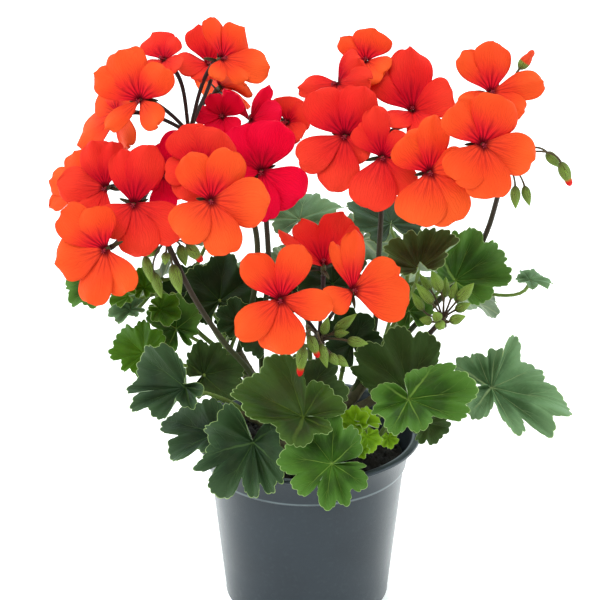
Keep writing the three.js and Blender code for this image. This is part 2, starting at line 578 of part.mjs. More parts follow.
addPiece("pot", potBody(), COLOUR.pot, 0.45);
addPiece("soil", soilBody(stemRoom), COLOUR.soil, 1);
addPiece("stem", stemBody(0), COLOUR.stem, 0.8);
for (const [name, leaf] of Object.entries(LEAVES)) {
  const start = branchCurve(leaf[5]).getPoint(leaf[6]);
  addPiece(name, offStem(leafBody(start, leaf)), COLOUR.leaf, 0.6);
}
for (const [name, shoot] of Object.entries(SHOOTS)) {
  addPiece(name, offStem(shootBody(shoot)), COLOUR.young, 0.6);
}
for (const [name, stalk] of Object.entries(STALKS)) {
  addPiece(name, offStem(stalkBody(stalk)), COLOUR.stalk, 0.7);
}
for (const [name, flower] of Object.entries(FLOWERS)) {
  addPiece(name, flowerBody(flower), COLOUR[flower[3]], 0.5);
}

export default potted;
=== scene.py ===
"""Potted geranium: leaves, flowers, stalks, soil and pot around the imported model.

Metres, +Z up, +X to the right and -Y to the front of the plant. The tables give
millimetres and degrees, as the plant was laid out.
"""
import logging
import math
from dataclasses import dataclass
from enum import StrEnum
from typing import Iterable, Sequence

import bpy
import numpy as np
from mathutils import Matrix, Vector


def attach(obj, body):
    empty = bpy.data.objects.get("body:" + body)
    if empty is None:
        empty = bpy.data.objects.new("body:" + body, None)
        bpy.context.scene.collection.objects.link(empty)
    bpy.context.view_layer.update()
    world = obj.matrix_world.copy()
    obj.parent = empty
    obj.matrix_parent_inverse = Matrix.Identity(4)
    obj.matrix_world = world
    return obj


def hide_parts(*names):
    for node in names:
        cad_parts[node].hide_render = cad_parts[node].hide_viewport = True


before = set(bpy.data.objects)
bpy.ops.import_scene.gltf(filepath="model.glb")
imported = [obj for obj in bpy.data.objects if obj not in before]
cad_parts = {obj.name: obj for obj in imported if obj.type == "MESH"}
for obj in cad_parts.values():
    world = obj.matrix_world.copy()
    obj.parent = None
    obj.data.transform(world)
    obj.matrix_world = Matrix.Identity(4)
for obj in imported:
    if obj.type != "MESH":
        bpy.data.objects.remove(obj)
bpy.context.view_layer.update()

LOG = logging.getLogger("geranium")
MM = 0.001
BODY = "root"

Point = Sequence[float]
Colour = tuple[int, int, int]
Array = np.ndarray
Numbers = Array | float

# Sizes of the plant's parts, in millimetres
BRANCH_RADIUS = 3.0
PEDUNCLE_RADIUS = 1.45
PEDICEL_RADIUS = 0.95
PETIOLE_RADIUS = 1.05
BUD_STALK_RADIUS = 0.5
HUB_RADIUS = 2.9
BLADE_THICKNESS = 0.45
PETAL_THICKNESS = 0.3
CALYX_LENGTH = 7.0
CALYX_RADIUS = 1.5
VEIN_ANGLE = 50.0
YOUNG_RADIUS = 15.0

# First seeds of the random draws; each piece adds its number in its table
LEAF_SEED = 100
SHOOT_SEED = 200
FLOWER_SEED = 300
STALK_SEED = 400


class LeafTone(StrEnum):
    """Looks of the blades, from the new growth to the old leaves; SHADE is a painted shade, darker greens for
    the leaves deep in the foliage.
    """

    LIME = "lime_leaf"
    BRIGHT = "bright_leaf"
    FRESH = "fresh_leaf"
    OLIVE = "olive_leaf"
    BLUE = "blue_leaf"
    PALE = "pale_leaf"
    DARK = "dark_leaf"
    BRONZE = "bronze_leaf"
    SHADE = "shade_leaf"


class PetalTone(StrEnum):
    """Colours of the petals; the value is the record's material slot."""

    ORANGE = "orange_petal"
    RED = "red_petal"
    MAGENTA = "magenta_petal"


LIME, BRIGHT, FRESH, OLIVE, BLUE, PALE, DARK, BRONZE, SHADE = LeafTone
ORANGE, RED, MAGENTA = PetalTone


# Branches of the woody stem, from the crown in the soil outwards
BRANCHES = {
    "trunk": [(0, 0, 78), (0, 0, 92), (0, 0, 104)],
    "left": [(0, 0, 98), (-18, -5, 108), (-36, -8, 120)],
    "left_high": [(-6, 0, 101), (-24, 10, 118), (-36, 16, 142)],
    "left_front": [(0, 0, 94), (-14, -14, 101), (-27, -23, 108)],
    "front": [(0, 0, 94), (4, -18, 102), (8, -38, 108)],
    "right": [(0, 0, 98), (20, -1, 112), (42, 3, 126)],
    "right_high": [(6, 0, 101), (26, 8, 118), (40, 10, 144)],
    "right_front": [(0, 0, 94), (18, -14, 102), (37, -21, 110)],
    "back": [(0, 0, 98), (0, 20, 110), (2, 38, 124)],
    "back_left": [(0, 0, 95), (-17, 17, 108), (-33, 27, 124)],
    "back_right": [(0, 0, 95), (17, 17, 108), (33, 28, 124)],
}

# Single leaves: vein hub, facing (azimuth, elevation), midrib angle, radius, shape (cup,
# fold, droop, basal lobes), branch, how far along it the petiole starts, tone
LEAVES = {
    "leaf_left_wide": ((-61, -36, 146), (-115, 32), 190, 31, (0.1, 0.15, 0.1, 0.45), "left", 0.9, BLUE),
    "leaf_left_inner": ((-54, 4, 134), (-85, 35), 25, 26, (0.12, 0.1, 0.05, 0.5), "left_high", 0.3, DARK),
    "leaf_left_light": ((-84, -4, 150), (-110, 35), 160, 20, (0.1, 0.1, 0.1, 0.6), "left_high", 0.5, BRIGHT),
    "leaf_left_upper": ((-68, 12, 157), (-95, 30), 110, 19, (0.12, 0.1, 0, 0.7), "left_high", 0.64, FRESH),
    "leaf_centre_wide": ((-2, -64, 143), (-95, 48), 165, 36, (0.06, 0.08, 0.12, 0.55), "front", 0.75, OLIVE),
    "leaf_rim_front": ((12, -69, 120), (-85, 28), 188, 27, (0.05, 0.06, 0.1, 0.8), "front", 1, FRESH),
    "leaf_rim_left": ((-27, -48, 121), (-105, 22), 235, 34, (0.06, 0.2, 0.15, 0.75), "left_front", 1, BLUE),
    "leaf_low_left": ((-47, -26, 115), (-135, 62), 225, 26, (0.1, 0.1, 0.12, 0.4), "left_front", 0.75, BLUE),
    "leaf_centre_dark": ((-1, -39, 143), (-90, 42), 88, 24, (0.05, 0.05, 0.1, 0.8), "front", 0.55, DARK),
    "leaf_right_wide": ((50, -50, 146), (-82, 48), 3, 35, (0.08, 0.14, 0.1, 0.4), "right_front", 1, FRESH),
    "leaf_right_dark": ((52, -14, 133), (-95, 22), 95, 31, (0.08, 0.08, 0, 0.35), "right_front", 0.7, DARK),
    "leaf_right_far": ((95, -8, 132), (-82, 56), -12, 41, (0.1, 0.15, 0.15, 0.5), "right", 1, PALE),
    "leaf_bronze": ((56, -8, 199), (-95, 55), 70, 22, (0.35, 0.1, 0, 0.8), "right_high", 0.6, BRONZE),
    "leaf_right_green": ((76, 12, 184), (-75, 28), 35, 30, (0.15, 0.1, 0.05, 0.6), "right_high", 0.75, FRESH),
    "leaf_right_small": ((62, -16, 116), (-80, 20), -20, 13, (0.1, 0.1, 0.1, 0.7), "right_front", 0.85, DARK),
}

# Outlines of the leaves that show most: for each lobe the notch before it and the points of
# its crest, as an angle from the midrib and a reach in hundredths of the radius. The first
# notch is the sinus where the petiole comes in, and the list turns once round the blade.
OUTLINES = {
    "leaf_left_wide": [
        [(-217, 5), (-190, 32), (-170, 42), (-156, 42)],
        [(-146, 38), (-133, 44), (-118, 44), (-95, 33)],
        [(-65, 22), (-66, 50), (-57, 66), (-42, 72)],
        [(-31, 68), (-27, 95), (-21, 104), (-14, 95)],
        [(-7, 85), (-6, 105), (-1, 110), (3, 103)],
        [(7, 94), (20, 100), (33, 98), (45, 95)],
        [(52, 78), (60, 80), (67, 74), (78, 55), (92, 38), (110, 25)],
    ],
    "leaf_left_inner": [
        [(-178, 5), (-160, 36), (-120, 42), (-100, 55)],
        [(-89, 56), (-79, 67), (-66, 70)],
        [(-53, 60), (-46, 70), (-36, 73), (-24, 70)],
        [(-15, 66), (0, 78), (15, 83), (27, 82)],
        [(35, 74), (52, 85), (72, 82), (92, 60)],
        [(108, 42), (130, 52), (152, 45)],
    ],
    "leaf_left_light": [
        [(-178, 5), (-150, 62), (-122, 70), (-100, 62)],
        [(-86, 52), (-78, 68), (-70, 73), (-58, 68)],
        [(-46, 58), (-42, 85), (-34, 96), (-25, 100)],
        [(-15, 88), (-3, 100), (12, 103), (27, 97)],
        [(36, 74), (46, 86), (58, 90), (72, 80)],
        [(85, 66), (100, 78), (122, 72), (150, 50)],
    ],
    "leaf_left_upper": [
        [(-178, 5), (-166, 60), (-140, 74), (-120, 74)],
        [(-105, 58), (-94, 62), (-82, 60)],
        [(-72, 56), (-60, 82), (-45, 96), (-28, 100)],
        [(-12, 84), (6, 100), (24, 98)],
        [(40, 76), (56, 86), (72, 80), (88, 78)],
        [(104, 60), (118, 66), (130, 60)],
        [(140, 50), (152, 64), (164, 60)],
    ],
    "leaf_centre_wide": [
        [(-192, 5), (-189, 30), (-178, 42), (-163, 47), (-152, 43)],
        [(-141, 34), (-122, 44), (-104, 49), (-75, 47), (-50, 43)],
        [(-37, 42), (-28, 58), (-18, 76), (-9, 86)],
        [(-4, 90), (0, 106), (8, 108), (18, 108), (25, 102)],
        [(31, 95), (42, 105), (55, 100), (67, 82)],
        [(78, 42), (90, 52), (103, 56), (116, 56)],
        [(126, 52), (137, 60), (149, 60), (158, 48)],
    ],
    "leaf_rim_front": [
        [(-178, 5), (-173, 52), (-166, 63)],
        [(-159, 53), (-152, 68), (-138, 77), (-126, 74)],
        [(-115, 57), (-107, 76), (-98, 83), (-92, 77)],
        [(-87, 68), (-80, 82), (-70, 86), (-57, 68)],
        [(-44, 45), (-43, 68), (-37, 82), (-26, 82), (-16, 86)],
        [(-7, 72), (2, 92), (14, 102), (24, 95), (32, 93)],
        [(43, 78), (52, 86), (63, 89), (74, 84)],
        [(85, 70), (96, 92), (109, 93)],
        [(118, 66), (127, 80), (142, 78), (157, 68), (172, 58)],
    ],
    "leaf_rim_left": [
        [(-208, 5), (-190, 35), (-166, 44), (-150, 48)],
        [(-135, 44), (-115, 60), (-95, 66), (-83, 77)],
        [(-77, 70), (-68, 81), (-60, 79)],
        [(-55, 60), (-49, 78), (-41, 83), (-32, 75)],
        [(-22, 54), (-20, 80), (-16, 92), (-8, 103), (1, 105), (8, 98)],
        [(17, 70), (20, 92), (26, 102), (34, 80), (50, 70), (66, 74)],
        [(84, 60), (98, 68), (109, 70), (122, 50)],
    ],
    "leaf_low_left": [
        [(-178, 5), (-120, 45), (-85, 56), (-62, 58)],
        [(-42, 50), (-30, 88), (-12, 103), (2, 108), (12, 106)],
        [(18, 82), (22, 122), (30, 134), (43, 126), (58, 108)],
        [(74, 84), (90, 86), (110, 66)],
        [(126, 50), (145, 50), (160, 40)],
    ],
    "leaf_centre_dark": [
        [(-178, 5), (-160, 70), (-135, 82), (-116, 80)],
        [(-100, 66), (-80, 88), (-62, 90)],
        [(-46, 74), (-28, 98), (-10, 96)],
        [(6, 80), (24, 102), (42, 98)],
        [(58, 76), (78, 92), (98, 88)],
        [(112, 68), (132, 84), (156, 70)],
    ],
    "leaf_right_wide": [
        [(-123, 5), (-95, 30), (-57, 52), (-38, 77), (-30, 87)],
        [(-24, 81), (-17, 94), (-4, 105), (5, 98)],
        [(11, 84), (18, 90), (29, 80), (36, 60)],
        [(43, 42), (60, 50), (78, 54), (92, 55)],
        [(104, 49), (117, 66), (134, 64)],
        [(146, 54), (163, 61)],
        [(176, 50), (191, 57), (214, 44), (228, 26)],
    ],
    "leaf_right_dark": [
        [(-178, 5), (-130, 42), (-92, 62), (-75, 82), (-65, 105)],
        [(-57, 96), (-51, 112), (-43, 112), (-34, 107)],
        [(-25, 88), (-19, 106), (-10, 112), (0, 110)],
        [(8, 94), (14, 104), (25, 104), (36, 98)],
        [(42, 84), (48, 70), (58, 50), (90, 42), (135, 35)],
    ],
    "leaf_right_far": [
        [(-190, 5), (-165, 46), (-144, 58)],
        [(-134, 44), (-127, 47), (-117, 43)],
        [(-110, 32), (-100, 46), (-89, 46), (-79, 42)],
        [(-74, 30), (-76, 60), (-71, 78), (-62, 72)],
        [(-53, 58), (-41, 70), (-28, 76)],
        [(-19, 72), (-13, 85), (-4, 97), (4, 104), (14, 107)],
        [(21, 84), (28, 96), (38, 97)],
        [(45, 58), (54, 76), (64, 79), (74, 60)],
        [(84, 32), (98, 56), (111, 64), (127, 55), (150, 38)],
    ],
    "leaf_bronze": [
        [(-208, 5), (-190, 35), (-163, 50), (-145, 60)],
        [(-131, 56), (-121, 78), (-112, 78)],
        [(-104, 68), (-92, 88), (-78, 90), (-66, 86)],
        [(-54, 70), (-45, 80), (-35, 80)],
        [(-24, 70), (-12, 92), (-1, 100)],
        [(7, 90), (15, 105), (28, 110), (42, 105)],
        [(53, 66), (66, 68), (80, 63), (100, 56), (120, 44)],
    ],
    "leaf_right_green": [
        [(-178, 5), (-140, 36), (-100, 50), (-72, 62), (-51, 86)],
        [(-42, 84), (-31, 98), (-20, 100)],
        [(-10, 84), (-3, 102), (8, 106), (17, 103)],
        [(23, 90), (30, 100), (38, 100), (47, 90)],
        [(54, 62), (62, 70), (72, 67), (86, 60), (99, 54)],
        [(111, 36), (130, 42), (155, 30)],
    ],
}

# Ridges (+) and valleys (-) of single leaves: angle from the midrib, height in radii, spread
FOLDS = {
    "leaf_left_wide": ((10, -0.12, 12), (48, 0.06, 20), (-22, 0.08, 14)),
    "leaf_centre_wide": ((28, -0.07, 14), (2, 0.05, 10), (-35, 0.05, 16)),
    "leaf_rim_left": (
        (78, 0.12, 14), (55, -0.1, 12), (32, 0.09, 12), (-5, -0.07, 12), (-60, 0.06, 20)),
    "leaf_rim_front": ((-10, -0.05, 14), (60, -0.05, 14)),
    "leaf_low_left": ((30, 0.08, 14), (0, -0.08, 14)),
    "leaf_right_wide": ((2, -0.09, 10), (-28, 0.07, 18), (100, -0.05, 20)),
    "leaf_right_far": ((21, 0.08, 12), (-75, 0.13, 12), (-48, -0.07, 12), (50, -0.06, 14)),
    "leaf_right_green": ((-20, 0.05, 16), (12, -0.05, 12)),
    "leaf_bronze": ((-70, -0.06, 14), (10, 0.06, 16)),
}


# Leafy shoots: branch and place on it, stalk points, then the leaves (hub, facing, midrib,
# radius, shape, how far along the stalk the petiole starts, its own tone if any), slot and tone
SHOOTS = {
    "shoot_shade_left": ("back_left", 0.45, [(-37, 20, 126), (-46, 36, 150)], [
        ((-46, 28, 166), (-95, 30), 85, 25, (0.1, 0.1, 0, 0.6), 0.9),
        ((-62, 40, 165), (-110, 35), 130, 18, (0.1, 0.1, 0.05, 0.7), 1),
        ((-35, 42, 149), (-90, 35), 80, 18, (0.1, 0.1, 0, 0.7), 0.7),
        ((-36, 6, 163), (-95, 35), 100, 13, (0.1, 0.1, 0, 0.7), 0.8),
    ], "green_leaf", SHADE),
    "shoot_shade_middle": ("right", 0.35, [(17, 8, 126), (21, 12, 146)], [
        ((23, 2, 153), (-80, 40), 100, 19, (0.1, 0.1, 0, 0.7), 0.7),
        ((13, 5, 185), (-90, 40), 90, 21, (0.1, 0.1, 0, 0.7), 1),
        ((-22, -8, 161), (-100, 35), 110, 16, (0.1, 0.1, 0, 0.7), 0.85),
    ], "green_leaf", SHADE),
    "shoot_left_young": ("left_high", 0.85, [(-54, 21, 148), (-80, 28, 176)], [
        ((-84, 12, 180), (-100, 25), 95, 11, (0.3, 0.2, 0, 0.5), 0.95),
        ((-92, 10, 176), (-130, 45), 180, 11, (0.2, 0.2, 0, 0.5), 0.9),
        ((-76, 2, 172), (-70, 40), -30, 12, (0.2, 0.2, 0, 0.5), 0.98),
        ((-91, 8, 169), (-100, 65), 200, 12, (0.1, 0.3, 0.1, 0.6), 0.96, PALE),
    ], "young_leaf", BRIGHT),
    "shoot_front_lime": ("right_front", 0.55, [(25, -30, 106), (30, -38, 114)], [
        ((24, -45, 130), (-100, 25), 95, 9.5, (0.1, 0.3, 0, 0.6), 0.95),
        ((28, -45, 130), (-85, 70), 8, 9.5, (0.1, 0.45, 0.1, 0.5), 0.9),
        ((30, -47, 124), (-80, 20), 285, 9, (0.15, 0.25, 0.3, 0.5), 0.85),
        ((27, -48, 119), (-100, 25), 235, 7, (0.1, 0.3, 0.1, 0.5), 0.8),
        ((41, -40, 120), (-85, 25), 280, 6, (0.1, 0.3, 0.1, 0.5), 0.85),
    ], "young_leaf", LIME),
    "shoot_back_left": ("back_left", 1, [(-52, 42, 148), (-60, 52, 172)], [
        ((-78, 50, 170), (160, 35), -60, 24, (0.1, 0.1, 0.1, 0.7), 0.7),
        ((-50, 72, 158), (110, 40), -90, 27, (0.1, 0.1, 0.1, 0.7), 0.5),
        ((-112, 34, 173), (-110, 35), 180, 17, (0.1, 0.1, 0.1, 0.7), 0.9),
        ((-52, 60, 196), (100, 50), -80, 22, (0.1, 0.1, 0.1, 0.7), 1),
    ], "green_leaf", FRESH),
    "shoot_back": ("back", 1, [(0, 46, 155), (-2, 48, 186)], [
        ((-4, 40, 207), (-90, 72), 80, 27, (0.05, 0.1, 0.1, 0.7), 1, PALE),
        ((-4, 82, 160), (90, 35), -90, 30, (0.1, 0.1, 0.1, 0.7), 0.4),
        ((30, 76, 182), (70, 40), -60, 26, (0.1, 0.1, 0.1, 0.7), 0.8),
        ((-2, 15, 175), (-90, 35), 80, 17, (0.1, 0.1, 0, 0.7), 0.3),
    ], "green_leaf", SHADE),
    "shoot_back_right": ("back_right", 1, [(50, 42, 150), (54, 44, 180)], [
        ((44, 44, 203), (-90, 70), 100, 27, (0.1, 0.1, 0.05, 0.7), 1, BLUE),
        ((82, 52, 164), (35, 40), -60, 28, (0.1, 0.1, 0.1, 0.7), 0.6),
        ((50, 80, 150), (80, 30), -90, 27, (0.1, 0.1, 0.1, 0.7), 0.2),
        ((116, 22, 180), (-70, 80), -8, 12.5, (0.05, 0.15, 0.2, 0.6), 0.8, PALE),
        ((53, 14, 166), (-80, 35), 95, 15, (0.1, 0.1, 0, 0.7), 0.3),
    ], "green_leaf", FRESH),
}

# Flowers: throat, facing (azimuth, elevation), lift of the petals out of the face plane,
# tone, then the petals (angle in the face plane, length, width)
FLOWERS = {
    "flower_left_a": ((-81, -15, 290), (-110, 18), 15, ORANGE,
        [(155, 26, 16), (118, 26, 20), (53, 21, 16), (315, 16, 14), (227, 22, 10)]),
    "flower_left_b": ((-70, 2, 305), (-135, 45), 20, RED,
        [(141, 17, 17), (78, 12, 10), (349, 17, 10), (304, 14, 12), (234, 12, 11)]),
    "flower_left_c": ((-49, 28, 295), (-95, 50), 35, RED,
        [(110, 21, 17), (83, 17, 11), (198, 20, 16), (302, 18, 9), (256, 18, 10)]),
    "flower_left_d": ((-46, -50, 251), (-88, 20), 12, ORANGE,
        [(119, 24, 17), (63, 26, 18), (356, 27, 23), (287, 27, 18), (226, 23, 20)]),
    "flower_left_e": ((-84, -36, 244), (-95, 22), 12, RED,
        [(105, 26, 15), (73, 29, 18), (332, 28, 19), (281, 25, 20), (219, 20, 17)]),
    "flower_left_f": ((-99, -18, 246), (-105, 18), 12, RED,
        [(111, 23, 17), (83, 23, 12), (179, 24, 17), (219, 16, 12), (262, 17, 10)]),
    "flower_left_g": ((-97, -52, 227), (-105, 15), 15, ORANGE,
        [(147, 28, 18), (111, 21, 17), (306, 24, 17), (261, 28, 17), (198, 25, 21)]),
    "flower_left_h": ((-94, 8, 276), (-140, 10), 15, ORANGE,
        [(175, 17, 12), (221, 33, 19), (116, 13, 13), (37, 15, 10), (317, 20, 18)]),
    "flower_left_i": ((-112, 0, 241), (-130, 15), 12, ORANGE,
        [(186, 22, 14), (218, 24, 10), (118, 17, 18), (286, 15, 16), (45, 18, 12)]),
    "flower_left_j": ((-71, -12, 250), (-80, 30), 15, MAGENTA,
        [(56, 24, 19), (96, 15, 12), (325, 15, 14), (265, 18, 13), (202, 10, 9)]),
    "flower_left_k": ((-42, 4, 305), (-50, 35), 20, ORANGE,
        [(90, 21, 13), (33, 20, 17), (330, 25, 17), (294, 16, 11), (226, 14, 9)]),
    "flower_left_l": ((-45, 65, 272), (40, 30), 15, ORANGE,
        [(165, 22, 17), (115, 22, 16), (350, 29, 22), (300, 22, 18), (225, 18, 18)]),
    "flower_left_m": ((-51, -30, 260), (-88, 28), 15, RED,
        [(116, 22, 21), (62, 20, 22), (332, 18, 14), (235, 18, 16), (185, 18, 14)]),
    "flower_back_a": ((-23, -5, 250), (-90, 15), 12, MAGENTA,
        [(121, 25, 16), (73, 25, 23), (326, 24, 23), (279, 25, 14), (185, 12, 9)]),
    "flower_back_b": ((-29, 32, 264), (-100, 60), 25, MAGENTA,
        [(138, 22, 8), (70, 21, 8), (12, 17, 17), (306, 26, 14), (265, 23, 13)]),
    "flower_back_c": ((-10, 32, 263), (-115, 35), 20, RED,
        [(92, 13, 18), (29, 12, 14), (321, 13, 12), (272, 14, 14), (224, 12, 13)]),
    "flower_back_d": ((-43, 26, 268), (-100, 40), 20, MAGENTA,
        [(182, 14, 10), (53, 13, 12), (244, 12, 11), (319, 12, 10), (125, 13, 9)]),
    "flower_right_a": ((18, -22, 274), (-98, 20), 12, RED,
        [(129, 26, 20), (70, 25, 18), (315, 15, 14), (264, 27, 20), (214, 26, 17)]),
    "flower_right_b": ((36, -30, 266), (-90, 20), 12, RED,
        [(101, 24, 13), (129, 19, 12), (255, 26, 22), (308, 21, 15), (38, 15, 13)]),
    "flower_right_c": ((58, -46, 264), (-88, 20), 12, ORANGE,
        [(128, 21, 21), (83, 26, 15), (256, 26, 23), (300, 27, 21), (8, 18, 20)]),
    "flower_right_d": ((82, -52, 280), (-80, 20), 12, ORANGE,
        [(127, 23, 20), (63, 24, 23), (229, 22, 20), (273, 26, 21), (342, 26, 19)]),
    "flower_right_e": ((90, 0, 289), (-80, 35), 15, ORANGE,
        [(80, 25, 18), (120, 24, 16), (7, 27, 14), (322, 19, 12), (205, 19, 12)]),
    "flower_right_f": ((52, 5, 278), (-95, 55), 30, RED,
        [(95, 34, 21), (141, 29, 19), (19, 23, 21), (294, 26, 16), (231, 20, 15)]),
    "flower_right_g": ((29, 20, 299), (-95, 50), 25, ORANGE,
        [(76, 17, 19), (141, 17, 12), (226, 14, 12), (323, 14, 15), (282, 18, 14)]),
    "flower_right_h": ((15, 12, 290), (-140, 20), 15, RED,
        [(199, 25, 11), (48, 20, 17), (16, 26, 13), (308, 14, 13), (248, 13, 12)]),
    "flower_low_a": ((-13, -62, 205), (-92, 20), 12, ORANGE,
        [(128, 26, 16), (71, 27, 16), (351, 25, 15), (272, 26, 22), (220, 27, 16)]),
    "flower_low_b": ((22, -51, 205), (-75, 35), 15, ORANGE,
        [(84, 29, 12), (108, 25, 8), (20, 25, 17), (343, 28, 22), (204, 15, 15)]),
    "flower_low_c": ((8, -15, 204), (-90, 75), 45, RED,
        [(171, 30, 13), (124, 27, 16), (61, 30, 20), (20, 27, 18), (200, 24, 16)]),
}

# Flower stalks: branch and place on it, points up to the hub, the flowers that it
# carries, then its closed buds (middle, direction of the tip, length, radius, ripeness)
STALKS = {
    "stalk_left": ("left_high", 1, [(-27, 14, 180), (-27, 12, 215), (-42, 12, 245), (-59, 10, 264)],
        [f"flower_left_{letter}" for letter in "abcdefghijklm"], []),
    "stalk_back": ("back_left", 0.7, [(-24, 20, 150), (-20, 17, 185), (-21, 18, 215), (-24, 25, 245)],
        [f"flower_back_{letter}" for letter in "abcd"], []),
    "stalk_right_inner": ("right_high", 0.45, [(34, 12, 150), (37, 13, 204), (39, 15, 262)],
        [f"flower_right_{letter}" for letter in "abcfgh"], []),
    "stalk_right_outer": ("back_right", 0.8, [
        (48, 24, 143), (62, 20, 162), (84, 26, 185), (93, 27, 205), (97, 20, 226), (99, 4, 254)],
        [f"flower_right_{letter}" for letter in "de"],
        [((104, -2, 235), (-75, -80), 12, 2.5, 0), ((110, 0, 235), (-20, -73), 11, 2.3, 0),
         ((129, 2, 246), (0, -66), 14, 2.9, 1), ((123, 6, 252), (0, -49), 11, 2.6, 0),
         ((108, 12, 302), (0, 55), 12, 2.8, 2)]),
    "stalk_low": ("front", 0.35, [(4, -11, 125), (5, -13, 145), (6, -20, 166)],
        [f"flower_low_{letter}" for letter in "abc"],
        [((-3, -54, 169), (180, -84), 17, 2.8, 1), ((3, -48, 174), (0, -69), 13, 2.6, 1),
         ((8, -46, 168), (0, -76), 14, 2.5, 0), ((13, -44, 165), (0, -53), 8, 2.4, 0),
         ((17, -42, 163), (0, -40), 9, 2.4, 0), ((9, -30, 177), (0, 75), 10, 2.3, 0),
         ((19, -26, 177), (0, 41), 15, 2.7, 0), ((17, -30, 173), (0, 8), 8, 2, 0),
         ((25, -34, 170), (0, -10), 11, 2.6, 0)]),
    "stalk_green_buds": ("right", 0.8, [(46, 5, 140), (62, 1, 158), (69, -7, 171)],
        [],
        [((59, -12, 187), (180, 52), 15, 2.6, 0), ((56, -8, 181), (180, 59), 12, 2.3, 0),
         ((60, -2, 189), (180, 56), 11, 2.2, 0), ((65, -10, 193), (180, 67), 13, 3, 0),
         ((70, -4, 187), (0, 87), 12, 2.3, 0), ((74, -8, 187), (0, 75), 10, 2.2, 0),
         ((80, -10, 187), (0, 50), 13, 3, 0), ((79, -8, 178), (0, 27), 9, 2.5, 0),
         ((76, -14, 174), (0, 20), 9, 2.6, 0), ((65, -20, 178), (180, 60), 6, 2.6, 0),
         ((67, -20, 173), (-90, 10), 6, 2.6, 0), ((60, -14, 173), (180, 12), 7, 2.4, 0)]),
    "stalk_hanging_buds": ("left", 0.5, [(-29, -9, 141), (-42, -13, 160), (-57, -19, 188), (-70, -20, 219)],
        [],
        [((-79, -24, 205), (0, -80), 15, 2.5, 0), ((-75, -18, 194), (0, -76), 15, 2.6, 0),
         ((-65, -25, 200), (0, -77), 17, 3.1, 0), ((-70, -27, 212), (180, -84), 7, 2.2, 0),
         ((-62, -18, 210), (0, -77), 12, 2.7, 0), ((-56, -22, 213), (0, -51), 12, 3, 1),
         ((-77, -16, 211), (180, -38), 9, 2.2, 0)]),
}


# Lines and surfaces

def vec(values: Point) -> Array:
    """Gives three numbers as an array."""
    return np.array(values, dtype=float)


def unit(values: Array) -> Array:
    """Scales one vector, or the last axis of many, to length 1."""
    return values / np.maximum(np.linalg.norm(values, axis=-1, keepdims=True), 1e-12)


def smooth(low: float, high: float, value: Array) -> Array:
    """Rises smoothly from 0 at low to 1 at high."""
    share = np.clip((value - low) / (high - low), 0.0, 1.0)
    return share * share * (3.0 - 2.0 * share)


def face_frame(facing: Point) -> tuple[Array, Array, Array]:
    """Directions of a face as seen from in front of it.

    Args:
        facing: azimuth and elevation of the direction that the face looks in, in degrees.

    Returns:
        Unit vectors to the right, up and out of the face.
    """
    azimuth, elevation = np.radians(facing)
    out = vec((math.cos(elevation) * math.cos(azimuth), math.cos(elevation) * math.sin(azimuth),
               math.sin(elevation)))
    right = unit(np.cross((0.0, 0.0, 1.0), out))
    return right, np.cross(out, right), out


def spoke(right: Array, up: Array, angle: float) -> Array:
    """Gives the direction at an angle in radians, counted from right towards up."""
    return right * math.cos(angle) + up * math.sin(angle)


def ring_turns(sides: int) -> Array:
    """Gives the angles of a ring's corners, as one row."""
    return np.linspace(0, 2 * math.pi, sides, endpoint=False)[None, :]


def sheet_shares(rows: int, columns: int) -> tuple[Array, Array]:
    """Gives shares along a sheet from 0 to 1, as a column, and across it from -1 to 1, as a row."""
    return np.linspace(0, 1, rows)[:, None], np.linspace(-1, 1, columns)[None, :]


def triples(first: Numbers, second: Numbers, third: Numbers) -> Array:
    """Joins three grids, rows, columns or numbers into one grid of triples."""
    return np.stack(np.broadcast_arrays(first, second, third), axis=-1)


def lay(origin: Numbers, *moves: tuple[Array, Array]) -> Array:
    """Lays out points from an origin.

    Args:
        origin: where every point starts.
        *moves: directions, each with how far the points go along it.

    Returns:
        The points, in the shape of the moves.
    """
    made = origin
    for way, amount in moves:
        made = made + way * amount[..., None]
    return made


def bezier(points: Sequence[Array], share: Numbers) -> Array:
    """Points of a Bezier curve.

    Args:
        points: control points, three or more.
        share: places along the curve, from 0 to 1.

    Returns:
        One point for each place.
    """
    places = np.atleast_1d(np.asarray(share, float))[:, None]
    level = [np.repeat(vec(p)[None, :], len(places), axis=0) for p in points]
    while len(level) > 1:
        level = [a + (b - a) * places for a, b in zip(level, level[1:])]
    return level[0]


def spline(points: Sequence[Point], share: Numbers) -> Array:
    """Points of a centripetal curve that runs through every given point.

    Args:
        points: the points, two or more, evenly spread over the range of share.
        share: places along the curve, from 0 to 1.

    Returns:
        One point for each place.
    """
    knots = [vec(p) for p in points]
    knots = [2 * knots[0] - knots[1], *knots, 2 * knots[-1] - knots[-2]]
    made = []
    for place in np.atleast_1d(np.asarray(share, float)):
        number = min(int(place * (len(points) - 1)), len(points) - 2)
        t = place * (len(points) - 1) - number
        a, b, c, d = knots[number:number + 4]
        da, db, dc = (max(float(np.linalg.norm(q - p)) ** 0.5, 1e-6) for p, q in ((a, b), (b, c), (c, d)))
        start = ((b - a) / da - (c - a) / (da + db) + (c - b) / db) * db
        end = ((c - b) / db - (d - b) / (db + dc) + (d - c) / dc) * db
        made.append((2 * t**3 - 3 * t**2 + 1) * b + (t**3 - 2 * t**2 + t) * start
                    + (3 * t**2 - 2 * t**3) * c + (t**3 - t**2) * end)
    return np.array(made)


def cross_frames(path: Array) -> tuple[Array, Array]:
    """Directions across a path, which turn as little as they can.

    Args:
        path: points of the path.

    Returns:
        The directions to one side and those at right angles to them.
    """
    along = unit(np.gradient(path, axis=0))
    side = unit(np.cross(along[0], (0.31, 0.95, 0.02)))
    sides = []
    for tangent in along:
        side = unit(side - tangent * float(side @ tangent))
        sides.append(side)
    sides = np.array(sides)
    return sides, np.cross(along, sides)


